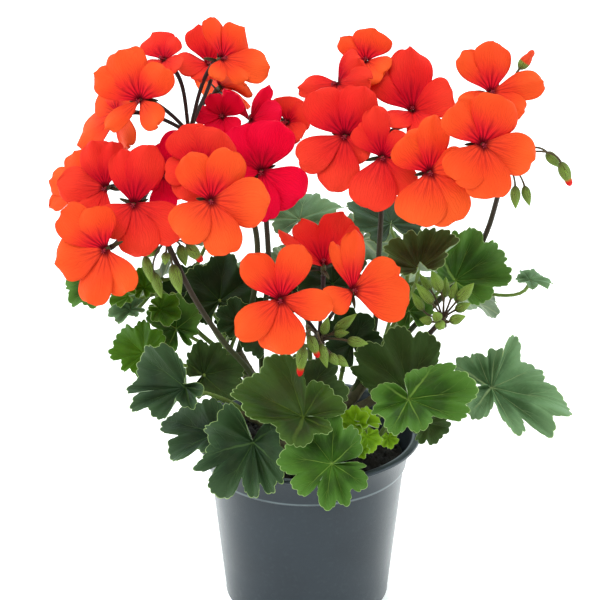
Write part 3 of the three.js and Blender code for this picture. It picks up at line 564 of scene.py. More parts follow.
class PieceMesh:
    """Collects the surfaces of one piece in millimetres and turns them into an object.

    Each vertex also carries a place, three numbers that its finish reads: on a blade the
    lobe, the reach in radii and the share of the way to the edge, on a petal or
    bud the place across, along and how marked it is, on a rod the place around and along.
    """

    def __init__(self) -> None:
        """Starts with nothing."""
        self.points: list[Array] = []
        self.places: list[Array] = []
        self.faces: list[tuple[int, ...]] = []
        self.finishes: list[int] = []
        self.count = 0

    def add_points(self, points: Array, places: Array) -> Array:
        """Adds vertices.

        Args:
            points: grid of points.
            places: what the finish reads at each of them.

        Returns:
            Numbers of the vertices, in the shape of the grid.
        """
        shape = points.shape[:-1]
        self.points.append(points.reshape(-1, 3))
        self.places.append(places.reshape(-1, 3))
        numbers = np.arange(self.count, self.count + int(np.prod(shape))).reshape(shape)
        self.count += numbers.size
        return numbers

    def add_faces(self, corners: Iterable[Sequence[int]], finish: int) -> None:
        """Adds faces that wear one finish.

        Args:
            corners: vertex numbers of each face.
            finish: number of the finish.
        """
        made = [tuple(int(n) for n in face) for face in corners]
        self.faces.extend(made)
        self.finishes.extend([finish] * len(made))

    def add_grid(self, numbers: Array, finish: int, wrap: bool, flip: bool) -> None:
        """Covers a grid of vertices with quads.

        Args:
            numbers: vertex numbers, rows by columns.
            finish: number of the finish.
            wrap: True where the last column joins the first.
            flip: True to turn the faces round.
        """
        nxt = np.roll(numbers, -1, axis=1) if wrap else numbers[:, 1:]
        cur = numbers if wrap else numbers[:, :-1]
        quads = np.stack([cur[:-1], nxt[:-1], nxt[1:], cur[1:]], axis=-1).reshape(-1, 4)
        self.add_faces(quads[:, ::-1] if flip else quads, finish)

    def add_shell(self, grid: Array, places: Array, tips: Sequence[Array], finish: int,
                  flip: bool = False) -> None:
        """Adds a closed shell: rings of vertices, with a tip over the first and the last of them.

        Args:
            grid: points, rings by corners.
            places: what the finish reads at each of them.
            tips: the point that closes the first ring, and the one that closes the last.
            finish: number of the finish.
            flip: True to turn the faces round.
        """
        numbers = self.add_points(grid, places)
        self.add_grid(numbers, finish, True, flip)
        for row, tip in zip((0, -1), tips):
            centre = self.add_points(tip[None, :], places[row, :1])[0]
            ring = numbers[row]
            fan = np.stack([np.full(len(ring), centre), ring, np.roll(ring, -1)], axis=-1)
            self.add_faces(fan[:, ::-1] if flip != (row == 0) else fan, finish)

    def add_sheet(self, middle: Array, places: Array, thickness: Numbers,
                  finishes: tuple[int, int], out: Array) -> None:
        """Adds a closed thin sheet.

        Args:
            middle: grid of points halfway through the sheet, rows by columns.
            places: what the finish reads at each of them.
            thickness: of the sheet, one number or one for each point.
            finishes: numbers of the finishes of its upper and its under side.
            out: the direction that the upper side looks in.
        """
        normal = unit(np.cross(np.gradient(middle, axis=0), np.gradient(middle, axis=1)))
        flip = bool((normal @ out).sum() < 0)
        if flip:
            normal = -normal
        half = normal * np.broadcast_to(thickness, middle.shape[:2])[..., None] / 2
        upper = self.add_points(middle + half, places)
        under = self.add_points(middle - half, places)
        self.add_grid(upper, finishes[0], False, not flip)
        self.add_grid(under, finishes[1], False, flip)
        rims = np.stack([np.concatenate([g[0, :-1], g[:-1, -1], g[-1, :0:-1], g[:0:-1, 0]])
                         for g in (upper, under)])
        self.add_grid(rims, finishes[0], True, flip)

    def add_rod(self, path: Array, radii: Numbers, finish: int, sides: int = 10,
                knobs: Numbers = 1.0) -> None:
        """Adds a closed rod.

        Args:
            path: points along its middle.
            radii: its radius, one number or one for each point.
            finish: number of the finish.
            sides: corners of its section.
            knobs: factor on the radius, one number or one for each point and corner.
        """
        across, over = cross_frames(path)
        turn = ring_turns(sides)
        reach = np.broadcast_to(radii, len(path))[:, None] * np.ones(sides) * knobs
        grid = lay(path[:, None, :], (across[:, None, :], reach * np.cos(turn)),
                   (over[:, None, :], reach * np.sin(turn)))
        steps = np.linalg.norm(np.diff(path, axis=0), axis=1)
        run = np.concatenate([[0.0], np.cumsum(steps)])[:, None]
        places = triples(turn / (2 * math.pi), run / run[-1], run)
        self.add_shell(grid, places, (path[0], path[-1]), finish)

    def build(self, name: str, materials: Sequence[bpy.types.Material]) -> bpy.types.Object:
        """Makes the object.

        Args:
            name: of the piece.
            materials: its finishes, in the order of their numbers.

        Returns:
            The new object, linked to the scene.
        """
        mesh = bpy.data.meshes.new(name)
        points = np.concatenate(self.points) * MM
        mesh.from_pydata(points.tolist(), [], self.faces)
        for material in materials:
            mesh.materials.append(material)
        mesh.polygons.foreach_set("material_index", self.finishes)
        place = mesh.attributes.new("place", "FLOAT_VECTOR", "POINT")
        place.data.foreach_set("vector", np.concatenate(self.places).astype(np.float32).ravel())
        mesh.shade_smooth()
        mesh.update()
        return add_object(name, mesh)


def add_object(name: str, data: bpy.types.ID) -> bpy.types.Object:
    """Puts a mesh, a light or a camera in the scene.

    Args:
        name: of the object.
        data: the mesh, light or camera.

    Returns:
        The object.
    """
    made = bpy.data.objects.new(name, data)
    bpy.context.scene.collection.objects.link(made)
    return made


def place_piece(piece: bpy.types.Object, node: str) -> None:
    """Makes a piece stand for a CAD node on the one body, and reports it.

    Args:
        piece: the piece.
        node: name of the CAD node.
    """
    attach(piece, BODY)
    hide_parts(node)
    LOG.info("%s: %d faces", piece.name, len(piece.data.polygons))


# Finishes

def linear(colour: Colour) -> tuple[float, float, float, float]:
    """Turns a colour of 0 to 255 a channel into scene light.

    Args:
        colour: red, green and blue.

    Returns:
        The colour as scene light, with full alpha.
    """
    shares = [c / 255.0 for c in colour]
    made = [s / 12.92 if s <= 0.04045 else ((s + 0.055) / 1.055) ** 2.4 for s in shares]
    return (made[0], made[1], made[2], 1.0)


Socket = bpy.types.NodeSocket
Value = Socket | float | tuple


class Wiring:
    """Adds nodes to one node tree and joins them."""

    def __init__(self, tree: bpy.types.NodeTree) -> None:
        """Takes the tree that the nodes go into."""
        self.tree = tree

    def plug(self, socket: Socket, value: Value) -> None:
        """Links a socket to another, or sets its value.

        Args:
            socket: an input.
            value: what to link it to, or its value.
        """
        if isinstance(value, Socket):
            self.tree.links.new(value, socket)
        else:
            socket.default_value = value

    def node(self, kind: str, settings: dict | None = None, **inputs: Value) -> bpy.types.Node:
        """Adds a node.

        Args:
            kind: Blender's name of the node type.
            settings: attributes of the node.
            **inputs: values of its sockets, by name with _ for a space.

        Returns:
            The node.
        """
        made = self.tree.nodes.new(kind)
        for key, value in (settings or {}).items():
            setattr(made, key, value)
        for key, value in inputs.items():
            self.plug(made.inputs[key.replace("_", " ")], value)
        return made

    def math(self, operation: str, *values: Value, clamp: bool = False) -> Socket:
        """Adds a Math node.

        Args:
            operation: Blender's name of what it does.
            *values: its inputs, in order.
            clamp: True to keep the result between 0 and 1.

        Returns:
            The result.
        """
        made = self.node("ShaderNodeMath", {"operation": operation, "use_clamp": clamp})
        for socket, value in zip(made.inputs, values):
            self.plug(socket, value)
        return made.outputs[0]

    def times(self, first: Value, second: Value) -> Socket:
        """Multiplies two values."""
        return self.math("MULTIPLY", first, second)

    def plus(self, first: Value, second: Value) -> Socket:
        """Adds two values."""
        return self.math("ADD", first, second)

    def minus(self, first: Value, second: Value) -> Socket:
        """Takes the second value from the first."""
        return self.math("SUBTRACT", first, second)

    def times_plus(self, first: Value, second: Value, third: Value) -> Socket:
        """Multiplies two values and adds a third."""
        return self.math("MULTIPLY_ADD", first, second, third)

    def gap(self, first: Value, second: Value) -> Socket:
        """Gives how far apart two values are."""
        return self.math("ABSOLUTE", self.minus(first, second))

    def ramp(self, value: Value, low: float, high: float, start: float = 0.0, end: float = 1.0) -> Socket:
        """Runs smoothly from start to end while value runs from low to high."""
        return self.node("ShaderNodeMapRange", {"interpolation_type": "SMOOTHSTEP"}, Value=value,
                         From_Min=low, From_Max=high, To_Min=start, To_Max=end).outputs["Result"]

    def mix(self, share: Value, first: Value, second: Value) -> Socket:
        """Mixes two colours.

        Args:
            share: of the second colour.
            first: colour.
            second: colour.

        Returns:
            The mixed colour.
        """
        made = self.node("ShaderNodeMix", {"data_type": "RGBA"})
        for number, value in ((0, share), (6, first), (7, second)):
            self.plug(made.inputs[number], value)
        return made.outputs[2]

    def layer(self, under: Value, share: Value, colour: Colour) -> Socket:
        """Covers a colour by a share with another."""
        return self.mix(share, under, linear(colour))

    def noise(self, where: Value, scale: Value, detail: float = 3.0, roughness: float = 0.55) -> Socket:
        """Adds a noise texture and returns its value."""
        return self.node("ShaderNodeTexNoise", Vector=where, Scale=scale, Detail=detail,
                         Roughness=roughness).outputs[0]

    def point(self) -> Socket:
        """Gives the point on the piece, in metres."""
        return self.node("ShaderNodeTexCoord").outputs["Object"]

    def place(self) -> Socket:
        """Gives the place that the piece's mesh carries."""
        return self.node("ShaderNodeAttribute", {"attribute_name": "place"}).outputs["Vector"]

    def split(self, vector: Socket) -> bpy.types.NodeOutputs:
        """Splits a vector into its three numbers."""
        return self.node("ShaderNodeSeparateXYZ", Vector=vector).outputs

    def use(self, group: bpy.types.NodeTree, **inputs: Value) -> bpy.types.NodeOutputs:
        """Places a node group with its own values and returns its outputs."""
        return self.node("ShaderNodeGroup", {"node_tree": group}, **inputs).outputs


class GroupWiring(Wiring):
    """The wiring of a shader node group that takes and gives plain numbers."""

    def __init__(self, name: str, **inputs: float) -> None:
        """Starts the group.

        Args:
            name: of the group.
            **inputs: start values of its inputs, by name.
        """
        super().__init__(bpy.data.node_groups.new(name, "ShaderNodeTree"))
        for key, value in inputs.items():
            socket = self.tree.interface.new_socket(key, in_out="INPUT", socket_type="NodeSocketFloat")
            socket.default_value = value
        self.given = self.tree.nodes.new("NodeGroupInput").outputs

    def give(self, **results: Socket) -> bpy.types.NodeTree:
        """Ends the group with its outputs.

        Args:
            **results: what its outputs give, by name.

        Returns:
            The group.
        """
        for key in results:
            self.tree.interface.new_socket(key, in_out="OUTPUT", socket_type="NodeSocketFloat")
        end = self.tree.nodes.new("NodeGroupOutput")
        for key, result in results.items():
            self.plug(end.inputs[key], result)
        return self.tree


class Effects:
    """The node groups that several finishes share, each built once."""

    def __init__(self) -> None:
        """Builds the groups."""
        self.mottle = self.make_mottle()
        self.veins = self.make_veins()
        self.grain = self.make_grain()
        self.fan = self.make_fan()

    @staticmethod
    def make_mottle() -> bpy.types.NodeTree:
        """Soft blotches over fine speckles, from 0 to 1.

        Returns:
            The group.
        """
        wire = GroupWiring("mottle", Scale=60.0, Speckle=0.3)
        where, scale = wire.point(), wire.given["Scale"]
        blotch = wire.ramp(wire.noise(where, scale, 2.0), 0.35, 0.65)
        speckle = wire.ramp(wire.noise(where, wire.times(scale, 14.0)), 0.3, 0.7)
        mixed = wire.node("ShaderNodeMix", {"data_type": "FLOAT"})
        for number, value in ((0, wire.given["Speckle"]), (2, blotch), (3, speckle)):
            wire.plug(mixed.inputs[number], value)
        return wire.give(Value=mixed.outputs[0])

    @staticmethod
    def make_veins() -> bpy.types.NodeTree:
        """Main veins that fan out of the vein hub, one to a lobe, and the side veins between them.

        Returns:
            The group.
        """
        wire = GroupWiring("leaf_veins", Width=0.006, Spacing=0.13)
        place = wire.place()
        wave = wire.node("ShaderNodeTexNoise", Vector=place, Scale=2.5, Detail=2.0).outputs[0]
        lobe, reach = wire.split(place)[:2]
        count = wire.times_plus(wire.minus(wave, 0.5), 0.16, lobe)
        off = wire.times(wire.minus(count, wire.math("ROUND", count)), math.radians(VEIN_ANGLE))
        across = wire.math("ABSOLUTE", wire.times(reach, wire.math("SINE", off)))
        along = wire.times(reach, wire.math("COSINE", off))
        width = wire.times(wire.given["Width"], wire.ramp(reach, 0.0, 1.0, 1.6, 0.5))
        main = wire.ramp(wire.math("DIVIDE", across, width), 0.4, 1.6, 1.0, 0.0)
        parting = wire.times(wire.math("MAXIMUM", wire.minus(along, 0.45), 0.0), 0.36)
        beside = wire.gap(across, parting)
        fork = wire.times(wire.ramp(wire.math("DIVIDE", beside, width), 0.4, 1.6, 0.6, 0.0),
                          wire.ramp(along, 0.45, 0.52))
        slant = wire.minus(along, wire.times(across, 1.1))
        phase = wire.math("FRACT", wire.math("DIVIDE", slant, wire.given["Spacing"]))
        line = wire.times(wire.ramp(wire.gap(phase, 0.5), 0.0, 0.1, 1.0, 0.0), wire.ramp(reach, 0.12, 0.3))
        side = wire.times(line, wire.ramp(wire.noise(place, 5.0, 2.0), 0.4, 0.65))
        return wire.give(Main=wire.math("MAXIMUM", main, fork), Side=side)

    @staticmethod
    def make_grain() -> bpy.types.NodeTree:
        """Fine grain as a height, for bump and for roughness."""
        wire = GroupWiring("grain", Scale=900.0)
        return wire.give(Height=wire.noise(wire.point(), wire.given["Scale"], 4.0, 0.65))

    @staticmethod
    def make_fan() -> bpy.types.NodeTree:
        """Lines that fan out of a petal's or bud's base: bold streaks and fine veins.

        Returns:
            The group.
        """
        wire = GroupWiring("base_fan", Streaks=2.4, Reach=0.45)
        place = wire.place()
        wave = wire.node("ShaderNodeTexNoise", Vector=place, Scale=2.2, Detail=2.0).outputs[0]
        across, along, marked = wire.split(place)
        bent = wire.plus(across, wire.times(wire.minus(wave, 0.5), 0.5))
        turns = wire.times(bent, wire.times(wire.given["Streaks"], math.pi))
        crest = wire.math("ABSOLUTE", wire.math("COSINE", turns))
        off_middle = wire.times(wire.math("ABSOLUTE", across), 0.22)
        room = wire.minus(wire.minus(wire.given["Reach"], along), off_middle)
        streak = wire.times(wire.ramp(crest, 0.66, 0.96), wire.ramp(room, 0.0, 0.4))
        hairline = wire.math("ABSOLUTE", wire.math("COSINE", wire.times(turns, 4.0)))
        return wire.give(Streak=streak, Vein=wire.ramp(hairline, 0.8, 1.0), Along=along, Marked=marked)


class Surface(Wiring):
    """The wiring of one material, with its Principled shader and the shared effects."""

    def __init__(self, name: str, effects: Effects | None = None) -> None:
        """Starts the material.

        Args:
            name: of the material.
            effects: the shared groups, if it uses any.
        """
        self.material = bpy.data.materials.new(name)
        self.material.use_nodes = True
        super().__init__(self.material.node_tree)
        self.shader = self.tree.nodes["Principled BSDF"]
        self.effects = effects

    def mottle(self, scale: float, speckle: float) -> Socket:
        """Adds the shared blotches and speckles."""
        return self.use(self.effects.mottle, Scale=scale, Speckle=speckle)[0]

    def grain(self, scale: float) -> Socket:
        """Adds the shared grain."""
        return self.use(self.effects.grain, Scale=scale)[0]

    def set(self, **values: Value) -> None:
        """Links sockets of the shader or sets their values, by name with _ for a space."""
        for key, value in values.items():
            self.plug(self.shader.inputs[key.replace("_", " ")], value)

    def bump(self, height: Value, distance: float, strength: float) -> None:
        """Gives the shader a bump from a height."""
        made = self.node("ShaderNodeBump", Height=height, Distance=distance, Strength=strength)
        self.set(Normal=made.outputs[0])


class Finish:
    """What all finishes share."""

    def dress(self, wire: Surface) -> None:
        """Wires the look; each kind of finish has its own."""
        raise NotImplementedError

    def build(self, name: str, effects: Effects) -> bpy.types.Material:
        """Makes the material.

        Args:
            name: of the material.
            effects: the shared groups.

        Returns:
            The material.
        """
        wire = Surface(name, effects)
        self.dress(wire)
        return wire.material


@dataclass(frozen=True)
class LeafFinish(Finish):
    """Upper side of a blade: green between pale veins, with a darker zone and a pale rim."""

    deep: Colour
    fresh: Colour
    tip: Colour
    vein: Colour
    zone: Colour = (40, 50, 22)
    zone_strength: float = 0.35
    vein_strength: float = 0.55
    rim: Colour = (150, 176, 108)
    roughness: float = 0.5

    def dress(self, wire: Surface) -> None:
        """Wires the greens, the zone, the veins and the rim.

        Args:
            wire: the material's wiring.
        """
        reach = wire.split(wire.place())[2]
        main, side = wire.use(wire.effects.veins)
        body = wire.mix(wire.mottle(40.0, 0.15), linear(self.deep), linear(self.fresh))
        body = wire.layer(body, wire.ramp(reach, 0.55, 1.0, 0.0, 0.7), self.tip)
        ring = wire.times(wire.ramp(reach, 0.28, 0.45), wire.ramp(reach, 0.5, 0.72, 1.0, 0.0))
        body = wire.layer(body, wire.times(ring, self.zone_strength), self.zone)
        body = wire.layer(body, wire.times(side, 0.08), self.vein)
        line = wire.times(main, wire.ramp(reach, 0.2, 0.95, self.vein_strength, 0.12))
        body = wire.layer(body, line, self.vein)
        body = wire.layer(body, wire.ramp(reach, 0.015, 0.08, 0.5, 0.0), self.vein)
        body = wire.layer(body, wire.ramp(reach, 0.982, 0.993, 0.0, 0.85), self.rim)
        grain = wire.grain(1500.0)
        groove = wire.plus(wire.times(main, 0.8), wire.times(side, 0.5))
        wire.bump(wire.minus(wire.times(grain, 0.35), groove), 0.0004, 0.8)
        wire.set(Base_Color=body, Roughness=wire.times_plus(grain, 0.2, self.roughness - 0.1),
                 Specular_IOR_Level=0.11)


@dataclass(frozen=True)
class LeafBackFinish(Finish):
    """Under side of a blade: pale matt grey-green with raised veins."""

    body: Colour = (126, 152, 112)
    shaded: Colour = (108, 130, 96)
    vein: Colour = (178, 190, 140)

    def dress(self, wire: Surface) -> None:
        """Wires the two greens and the raised veins.

        Args:
            wire: the material's wiring.
        """
        main, side = wire.use(wire.effects.veins, Width=0.02)
        body = wire.mix(wire.mottle(60.0, 0.5), linear(self.shaded), linear(self.body))
        lines = wire.math("MAXIMUM", wire.times(main, 0.7), wire.times(side, 0.3))
        grain = wire.grain(1800.0)
        wire.bump(wire.plus(lines, wire.times(grain, 0.5)), 0.0005, 0.8)
        wire.set(Base_Color=wire.layer(body, lines, self.vein), Sheen_Weight=0.2,
                 Roughness=wire.times_plus(grain, 0.2, 0.55))


@dataclass(frozen=True)
class PetalFinish(Finish):
    """Petal with a glowing base, streaks on the two upper petals and hair-fine veins."""

    body: Colour
    # Colour of the painted light towards the petal's end, and of the lighter patches of the mottle
    light: Colour
    base: Colour
    streak: Colour = (128, 0, 22)
    throat: Colour = (88, 0, 16)

    def dress(self, wire: Surface) -> None:
        """Wires the painted light towards the ends, the glow, the veins, the streaks and the dark throat.

        Args:
            wire: the material's wiring.
        """
        streak, vein, along, marked = wire.use(wire.effects.fan, Reach=0.58)
        # Painted light: lighter towards the petal's end, less so on the two streaked upper petals; the mottle
        # on it is random tone
        lighter = wire.times_plus(marked, -0.35, wire.ramp(along, 0.3, 1.0, 0.1, 0.6))
        lighter = wire.math("MULTIPLY_ADD", wire.mottle(35.0, 0.12), 0.45, lighter, clamp=True)
        body = wire.mix(lighter, linear(self.body), linear(self.light))
        glow = wire.times(wire.ramp(along, 0.08, 0.68, 1.0, 0.0), wire.times_plus(marked, 0.6, 0.35))
        body = wire.layer(body, glow, self.base)
        body = wire.layer(body, wire.times(vein, wire.ramp(along, 0.15, 0.9, 0.26, 0.06)), self.streak)
        body = wire.layer(body, wire.times(streak, wire.times_plus(marked, 0.45, 0.4)), self.streak)
        body = wire.layer(body, wire.ramp(along, 0.02, 0.15, 0.9, 0.0), self.throat)
        grain = wire.grain(1300.0)
        wire.bump(wire.plus(wire.times(vein, -0.6), grain), 0.00025, 0.6)
        wire.set(Base_Color=body, Roughness=wire.times_plus(grain, 0.15, 0.5), Specular_IOR_Level=0.05)


@dataclass(frozen=True)
class StalkFinish(Finish):
    """Hairy stalk that turns from one colour to another along its length."""

    start: Colour
    end: Colour
    fleck: Colour
    sheen: float = 0.12
    hairs: Colour = (226, 226, 204)

    def dress(self, wire: Surface) -> None:
        """Wires the turn of colour, the flecks and the sheen of the hairs.

        Args:
            wire: the material's wiring.
        """
        along = wire.split(wire.place())[1]
        body = wire.mix(wire.ramp(along, 0.1, 0.9), linear(self.start), linear(self.end))
        body = wire.layer(body, wire.times(wire.mottle(120.0, 0.5), 0.4), self.fleck)
        grain = wire.grain(2200.0)
        wire.bump(grain, 0.0004, 0.8)
        wire.set(Base_Color=body, Roughness=wire.times_plus(grain, 0.2, 0.5), Specular_IOR_Level=0.2,
                 Sheen_Weight=self.sheen, Sheen_Roughness=0.35, Sheen_Tint=linear(self.hairs))


@dataclass(frozen=True)
class BudFinish(Finish):
    """Closed bud: green sepals with dark stripes and pale margins, red at the tip if ripe."""

    body: Colour = (106, 136, 40)
    stripe: Colour = (62, 46, 18)
    margin: Colour = (182, 200, 124)
    tip: Colour = (212, 18, 12)
    open_petal: Colour = (216, 66, 30)

    def dress(self, wire: Surface) -> None:
        """Wires the stripes and, by how ripe the bud is, its tip.

        Args:
            wire: the material's wiring.
        """
        streak, vein, along, marked = wire.use(wire.effects.fan, Streaks=10.0, Reach=0.9)
        body = wire.mix(wire.times(streak, 0.7), linear(self.body), linear(self.stripe))
        body = wire.layer(body, wire.times(vein, 0.4), self.margin)
        body = wire.layer(body, wire.ramp(along, 0.0, 0.3, 0.7, 0.0), self.stripe)
        opened = wire.times_plus(marked, 0.3, along)
        tip = wire.math("MULTIPLY", wire.ramp(opened, 0.95, 1.12), marked, clamp=True)
        petal = wire.mix(wire.ramp(marked, 1.0, 2.0), linear(self.tip), linear(self.open_petal))
        grain = wire.grain(2200.0)
        wire.bump(wire.plus(grain, streak), 0.0003, 0.7)
        wire.set(Base_Color=wire.mix(tip, body, petal), Roughness=wire.times_plus(grain, 0.2, 0.45),
                 Specular_IOR_Level=0.15)


@dataclass(frozen=True)
class GrainyFinish(Finish):
    """Woody or earthy stuff in two colours."""

    dark: Colour
    light: Colour
    scale: float
    roughness: float
    relief: float

    def dress(self, wire: Surface) -> None:
        """Wires the two colours and the grain.

        Args:
            wire: the material's wiring.
        """
        grain = wire.grain(self.scale * 9.0)
        wire.bump(grain, self.relief, 1.0)
        wire.set(Base_Color=wire.mix(wire.mottle(self.scale, 0.55), linear(self.dark), linear(self.light)),
                 Roughness=wire.times_plus(grain, 0.15, self.roughness))


@dataclass(frozen=True)
class PotFinish(Finish):
    """Moulded grey plastic: satin, faintly clouded, dusty towards the ground."""

    body: Colour = (26, 32, 39)
    cloud: Colour = (32, 39, 46)
    # Colour of the dusty specks near the ground, and of the painted highlight along the collar's edge
    dust_and_highlight: Colour = (104, 116, 118)
    collar_edge: float = 0.0878

    def dress(self, wire: Surface) -> None:
        """Wires the clouded grey, dusty specks near the ground and a painted highlight along the edge of the
        collar.

        Args:
            wire: the material's wiring.
        """
        where = wire.point()
        height = wire.split(where)[2]
        mottle = wire.mottle(28.0, 0.2)
        body = wire.mix(mottle, linear(self.body), linear(self.cloud))
        speck = wire.ramp(wire.noise(where, 420.0, 4.0), 0.5, 0.75)
        body = wire.layer(body, wire.times(wire.ramp(height, 0.0, 0.03, 0.3, 0.04), speck), self.dust_and_highlight)
        # Painted highlight: a pale broken line along the edge of the collar, standing in for the light that
        # the rounded edge catches
        painted_highlight = wire.times(wire.ramp(wire.gap(height, self.collar_edge), 0.0002, 0.0008, 0.8, 0.0),
                           wire.ramp(wire.noise(where, 60.0), 0.2, 0.55))
        grain = wire.grain(1600.0)
        wire.bump(grain, 0.0001, 0.5)
        wire.set(Base_Color=wire.layer(body, painted_highlight, self.dust_and_highlight),
                 Roughness=wire.times_plus(grain, 0.1, wire.times_plus(mottle, 0.08, 0.27)),
                 Specular_IOR_Level=0.4, Specular_Tint=(0.84, 0.94, 1.0, 1.0))


class Finishes:
    """All the materials of the plant and pot, each built once under its name."""

    LOOKS = {
        LIME: LeafFinish((70, 108, 4), (108, 148, 12), (130, 170, 28), (150, 186, 60),
                         zone_strength=0.0, vein_strength=0.3),
        BRIGHT: LeafFinish((42, 76, 0), (62, 100, 2), (68, 108, 10), (104, 144, 30),
                           zone_strength=0.1),
        FRESH: LeafFinish((38, 72, 8), (66, 104, 26), (80, 120, 46), (136, 170, 74)),
        OLIVE: LeafFinish((29, 49, 8), (50, 70, 16), (60, 86, 24), (98, 120, 46),
                          zone=(44, 42, 16), vein_strength=0.35),
        BLUE: LeafFinish((16, 36, 14), (38, 60, 30), (56, 80, 48), (84, 112, 60),
                         zone_strength=0.25, vein_strength=0.4),
        # Pale grey-green: partly the leaf's own colour, partly a painted sheen of the light on leaves that
        # face up
        PALE: LeafFinish((52, 82, 44), (92, 126, 82), (110, 142, 98), (160, 182, 126),
                         zone_strength=0.2, vein_strength=0.5),
        DARK: LeafFinish((32, 50, 14), (54, 74, 28), (62, 86, 40), (94, 116, 54),
                         zone=(42, 44, 18), zone_strength=0.3, vein_strength=0.4),
        BRONZE: LeafFinish((50, 54, 18), (70, 76, 32), (72, 92, 42), (100, 114, 50),
                           zone=(50, 40, 20), zone_strength=0.45, vein_strength=0.4),
        # Painted shade: a much darker copy of the leaf greens, for the leaves deep in the foliage
        SHADE: LeafFinish((14, 28, 4), (26, 46, 10), (34, 58, 18), (60, 88, 34)),
        ORANGE: PetalFinish((229, 61, 27), (237, 88, 37), (222, 8, 38)),
        RED: PetalFinish((218, 34, 30), (228, 60, 38), (196, 0, 34)),
        MAGENTA: PetalFinish((228, 0, 44), (234, 8, 56), (184, 0, 34)),
        "leaf_underside": LeafBackFinish(),
        "petiole": StalkFinish((84, 112, 44), (118, 146, 66), (92, 84, 48)),
        "young_petiole": StalkFinish((110, 140, 40), (136, 168, 52), (96, 120, 40)),
        "flower_stalk": StalkFinish((58, 70, 32), (58, 44, 36), (38, 32, 24)),
        "pedicel": StalkFinish((52, 34, 26), (44, 16, 18), (30, 16, 14)),
        "bud_stalk": StalkFinish((66, 46, 34), (84, 70, 44), (50, 32, 26)),
        "sepal": StalkFinish((52, 32, 20), (70, 66, 32), (48, 28, 18)),
        "pistil": StalkFinish((110, 0, 22), (176, 46, 60), (96, 4, 24), sheen=0.0),
        "bud": BudFinish(),
        "woody_stem": GrainyFinish((62, 56, 34), (98, 92, 58), 220.0, 0.65, 0.0008),
        "potting_soil": GrainyFinish((14, 10, 8), (44, 34, 26), 160.0, 0.85, 0.0015),
        "pot_plastic": PotFinish(),
    }

    def __init__(self) -> None:
        """Builds the shared effects and then every material."""
        effects = Effects()
        self.made = {name: look.build(name, effects) for name, look in self.LOOKS.items()}

    def pick(self, *names: str) -> list[bpy.types.Material]:
        """Gives the materials of some names, in their order."""
        return [self.made[name] for name in names]


# The plant's pieces

